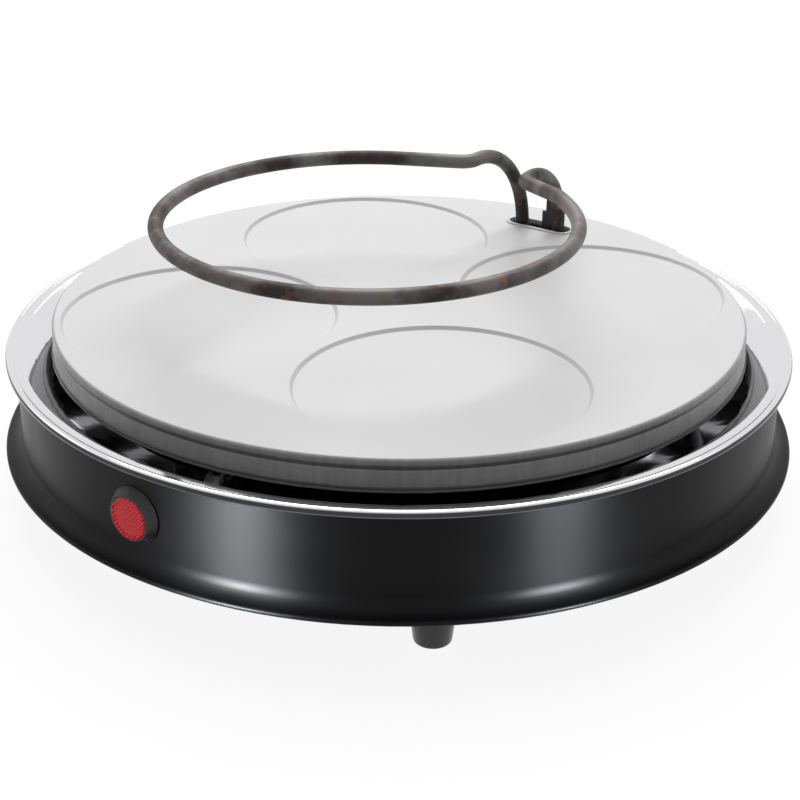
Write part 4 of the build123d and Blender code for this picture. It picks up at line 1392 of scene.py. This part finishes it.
class OVEN_OT_stage(bpy.types.Operator):
    """Make the floor, the lamps, the world and the camera."""

    bl_idname = "oven.stage"
    bl_label = "Stage"

    def seen_rays(self, tree):
        """One for what the camera sees, straight or by way of a mirroring or clear surface,
        and zero for the light that a matt surface gathers."""
        path = add_node(tree, "ShaderNodeLightPath")
        straight = {0: path.outputs["Is Camera Ray"], 1: path.outputs["Is Glossy Ray"]}
        mirrored = add_node(tree, "ShaderNodeMath", straight, operation="MAXIMUM")
        either = {0: mirrored, 1: path.outputs["Is Transmission Ray"]}
        seen = add_node(tree, "ShaderNodeMath", either, operation="MAXIMUM")
        gathered = {0: path.outputs["Diffuse Depth"], 1: 0.5}
        matt = add_node(tree, "ShaderNodeMath", gathered, operation="LESS_THAN")
        both = {0: seen, 1: matt}
        return add_node(tree, "ShaderNodeMath", both, operation="MULTIPLY")

    def area_lamp(self, name, power, place, target, width, height):
        """A soft rectangular lamp that looks from a place at a target, in metres."""
        lamp = bpy.data.lights.new(name, "AREA")
        lamp.shape = "RECTANGLE"
        lamp.energy = power
        lamp.size = width
        lamp.size_y = height
        holder = bpy.data.objects.new(name, lamp)
        bpy.context.scene.collection.objects.link(holder)
        back = np.array(place, float) - np.array(target, float)
        side = unit(np.cross([0, 1, 0.001], back))
        up = unit(np.cross(back, side))
        axes = np.column_stack([side, up, unit(back)])
        turn = Matrix(axes.tolist()).to_4x4()
        turn.translation = place
        holder.matrix_world = turn
        return holder

    def execute(self, context):
        settings = context.scene.oven_stage
        scene = context.scene

        bpy.ops.mesh.primitive_plane_add(size=12)
        floor = context.object
        floor.name = "floor"
        material, tree, place = new_material("matt_paper")
        fibres = add_node(
            tree, "ShaderNodeTexNoise", {"Vector": place, "Scale": per_metre(2.0), "Detail": 2.0}
        )
        relief = add_node(tree, "ShaderNodeBump", {"Height": fibres, "Distance": 0.02 * MM})
        lift = add_node(
            tree,
            "ShaderNodeMath",
            {0: self.seen_rays(tree), 1: settings.floor_lift},
            operation="MULTIPLY",
        )
        shader = add_node(
            tree,
            "ShaderNodeBsdfPrincipled",
            {
                "Base Color": settings.floor,
                "Roughness": 0.9,
                "Specular IOR Level": 0.1,
                "Emission Color": colour("ffffff"),
                "Emission Strength": lift,
                "Normal": relief,
            },
        )
        add_node(tree, "ShaderNodeOutputMaterial", {"Surface": shader})
        floor.data.materials.append(material)

        world = bpy.data.worlds.new("studio")
        scene.world = world
        world.use_nodes = True
        tree = world.node_tree
        tree.nodes.clear()
        strength = add_node(
            tree,
            "ShaderNodeMapRange",
            {"Value": self.seen_rays(tree), "To Min": settings.fill, "To Max": 1.0},
        )
        background = add_node(
            tree,
            "ShaderNodeBackground",
            {"Color": colour("ffffff"), "Strength": strength},
        )
        add_node(tree, "ShaderNodeOutputWorld", {"Surface": background})

        middle = (0, 0, 0.06)
        self.area_lamp("overhead", settings.overhead, (-0.9, 1.3, 2.6), middle, 2.6, 2.6)
        self.area_lamp("left_side", settings.side, (-1.3, -0.6, 0.7), middle, 0.5, 1.2)
        self.area_lamp("right_side", settings.side, (1.2, 0.5, 0.6), middle, 0.9, 1.0)
        # Two strips stand low beside the camera. They show only in the black pieces, as soft
        # upright glows in the satin enamel and the moulded feet.
        black_pieces = bpy.data.collections.new("black_pieces")
        for piece in context.scene.objects:
            if piece.name == "housing" or piece.name.endswith("_moulding"):
                black_pieces.objects.link(piece)
        strips = (
            ("left_strip", settings.left_strip, -94, 0.2),
            ("right_strip", settings.right_strip, -16, 0.26),
        )
        strip_distance = 0.87
        for name, power, turn, width in strips:
            x, y = spot(strip_distance, turn)
            strip = self.area_lamp(name, power, (x, y, 0.12), (0, 0, 0.05), width, 0.2)
            strip.data.color = (0.92, 0.95, 1.0)
            strip.visible_camera = False
            strip.visible_diffuse = False
            strip.light_linking.receiver_collection = black_pieces

        camera = bpy.data.cameras.new("camera")
        camera.sensor_width = 36.0
        camera.lens = settings.lens_length
        camera.clip_start = 0.01
        camera.clip_end = 50.0
        holder = bpy.data.objects.new("camera", camera)
        scene.collection.objects.link(holder)
        # The camera's azimuth is 34 degrees, and it aims a little to the right of the middle.
        azimuth = 34.0 - 0.053
        downward = 25.38
        lean = 0.58
        heading = Matrix.Rotation(np.radians(azimuth), 4, "Z")
        pitch = Matrix.Rotation(np.radians(90.0 - downward), 4, "X")
        roll = Matrix.Rotation(np.radians(lean), 4, "Z")
        place = Matrix.Translation((0.3681, -0.5457, 0.34075))
        holder.matrix_world = place @ heading @ pitch @ roll
        scene.camera = holder
        scene.view_settings.view_transform = "Standard"
        return {"FINISHED"}


class OVEN_PT_panel(bpy.types.Panel):
    """Buttons for every piece of the oven."""

    bl_idname = "OVEN_PT_panel"
    bl_label = "Pizza oven"
    bl_space_type = "VIEW_3D"
    bl_region_type = "UI"
    bl_category = "Oven"

    def draw(self, context):
        for operator, group_name in STEPS:
            self.layout.operator(operator.bl_idname)
            group = getattr(context.scene, group_name)
            for name in group.bl_rna.properties.keys():
                if name not in ("rna_type", "name"):
                    self.layout.prop(group, name)


STEPS = (
    (OVEN_OT_housing, "oven_housing"),
    (OVEN_OT_pan, "oven_pan"),
    (OVEN_OT_plate, "oven_plate"),
    (OVEN_OT_elements, "oven_elements"),
    (OVEN_OT_lamp, "oven_lamp"),
    (OVEN_OT_feet, "oven_feet"),
    (OVEN_OT_fittings, "oven_fittings"),
    (OVEN_OT_stage, "oven_stage"),
)
GROUPS = {
    "oven_housing": OvenHousingSettings,
    "oven_pan": OvenPanSettings,
    "oven_plate": OvenPlateSettings,
    "oven_elements": OvenElementSettings,
    "oven_lamp": OvenLampSettings,
    "oven_feet": OvenFootSettings,
    "oven_fittings": OvenFittingSettings,
    "oven_stage": OvenStageSettings,
}


def register():
    for name, group in GROUPS.items():
        bpy.utils.register_class(group)
        setattr(bpy.types.Scene, name, bpy.props.PointerProperty(type=group))
    for operator, _ in STEPS:
        bpy.utils.register_class(operator)
    bpy.utils.register_class(OVEN_PT_panel)


def unregister():
    bpy.utils.unregister_class(OVEN_PT_panel)
    for operator, _ in reversed(STEPS):
        bpy.utils.unregister_class(operator)
    for name, group in GROUPS.items():
        delattr(bpy.types.Scene, name)
        bpy.utils.unregister_class(group)


def main():
    """Register the add-on and make every piece in order."""
    register()
    for operator, _ in STEPS:
        area, action = operator.bl_idname.split(".")
        getattr(getattr(bpy.ops, area), action)()


if __name__ == "__main__":
    main()
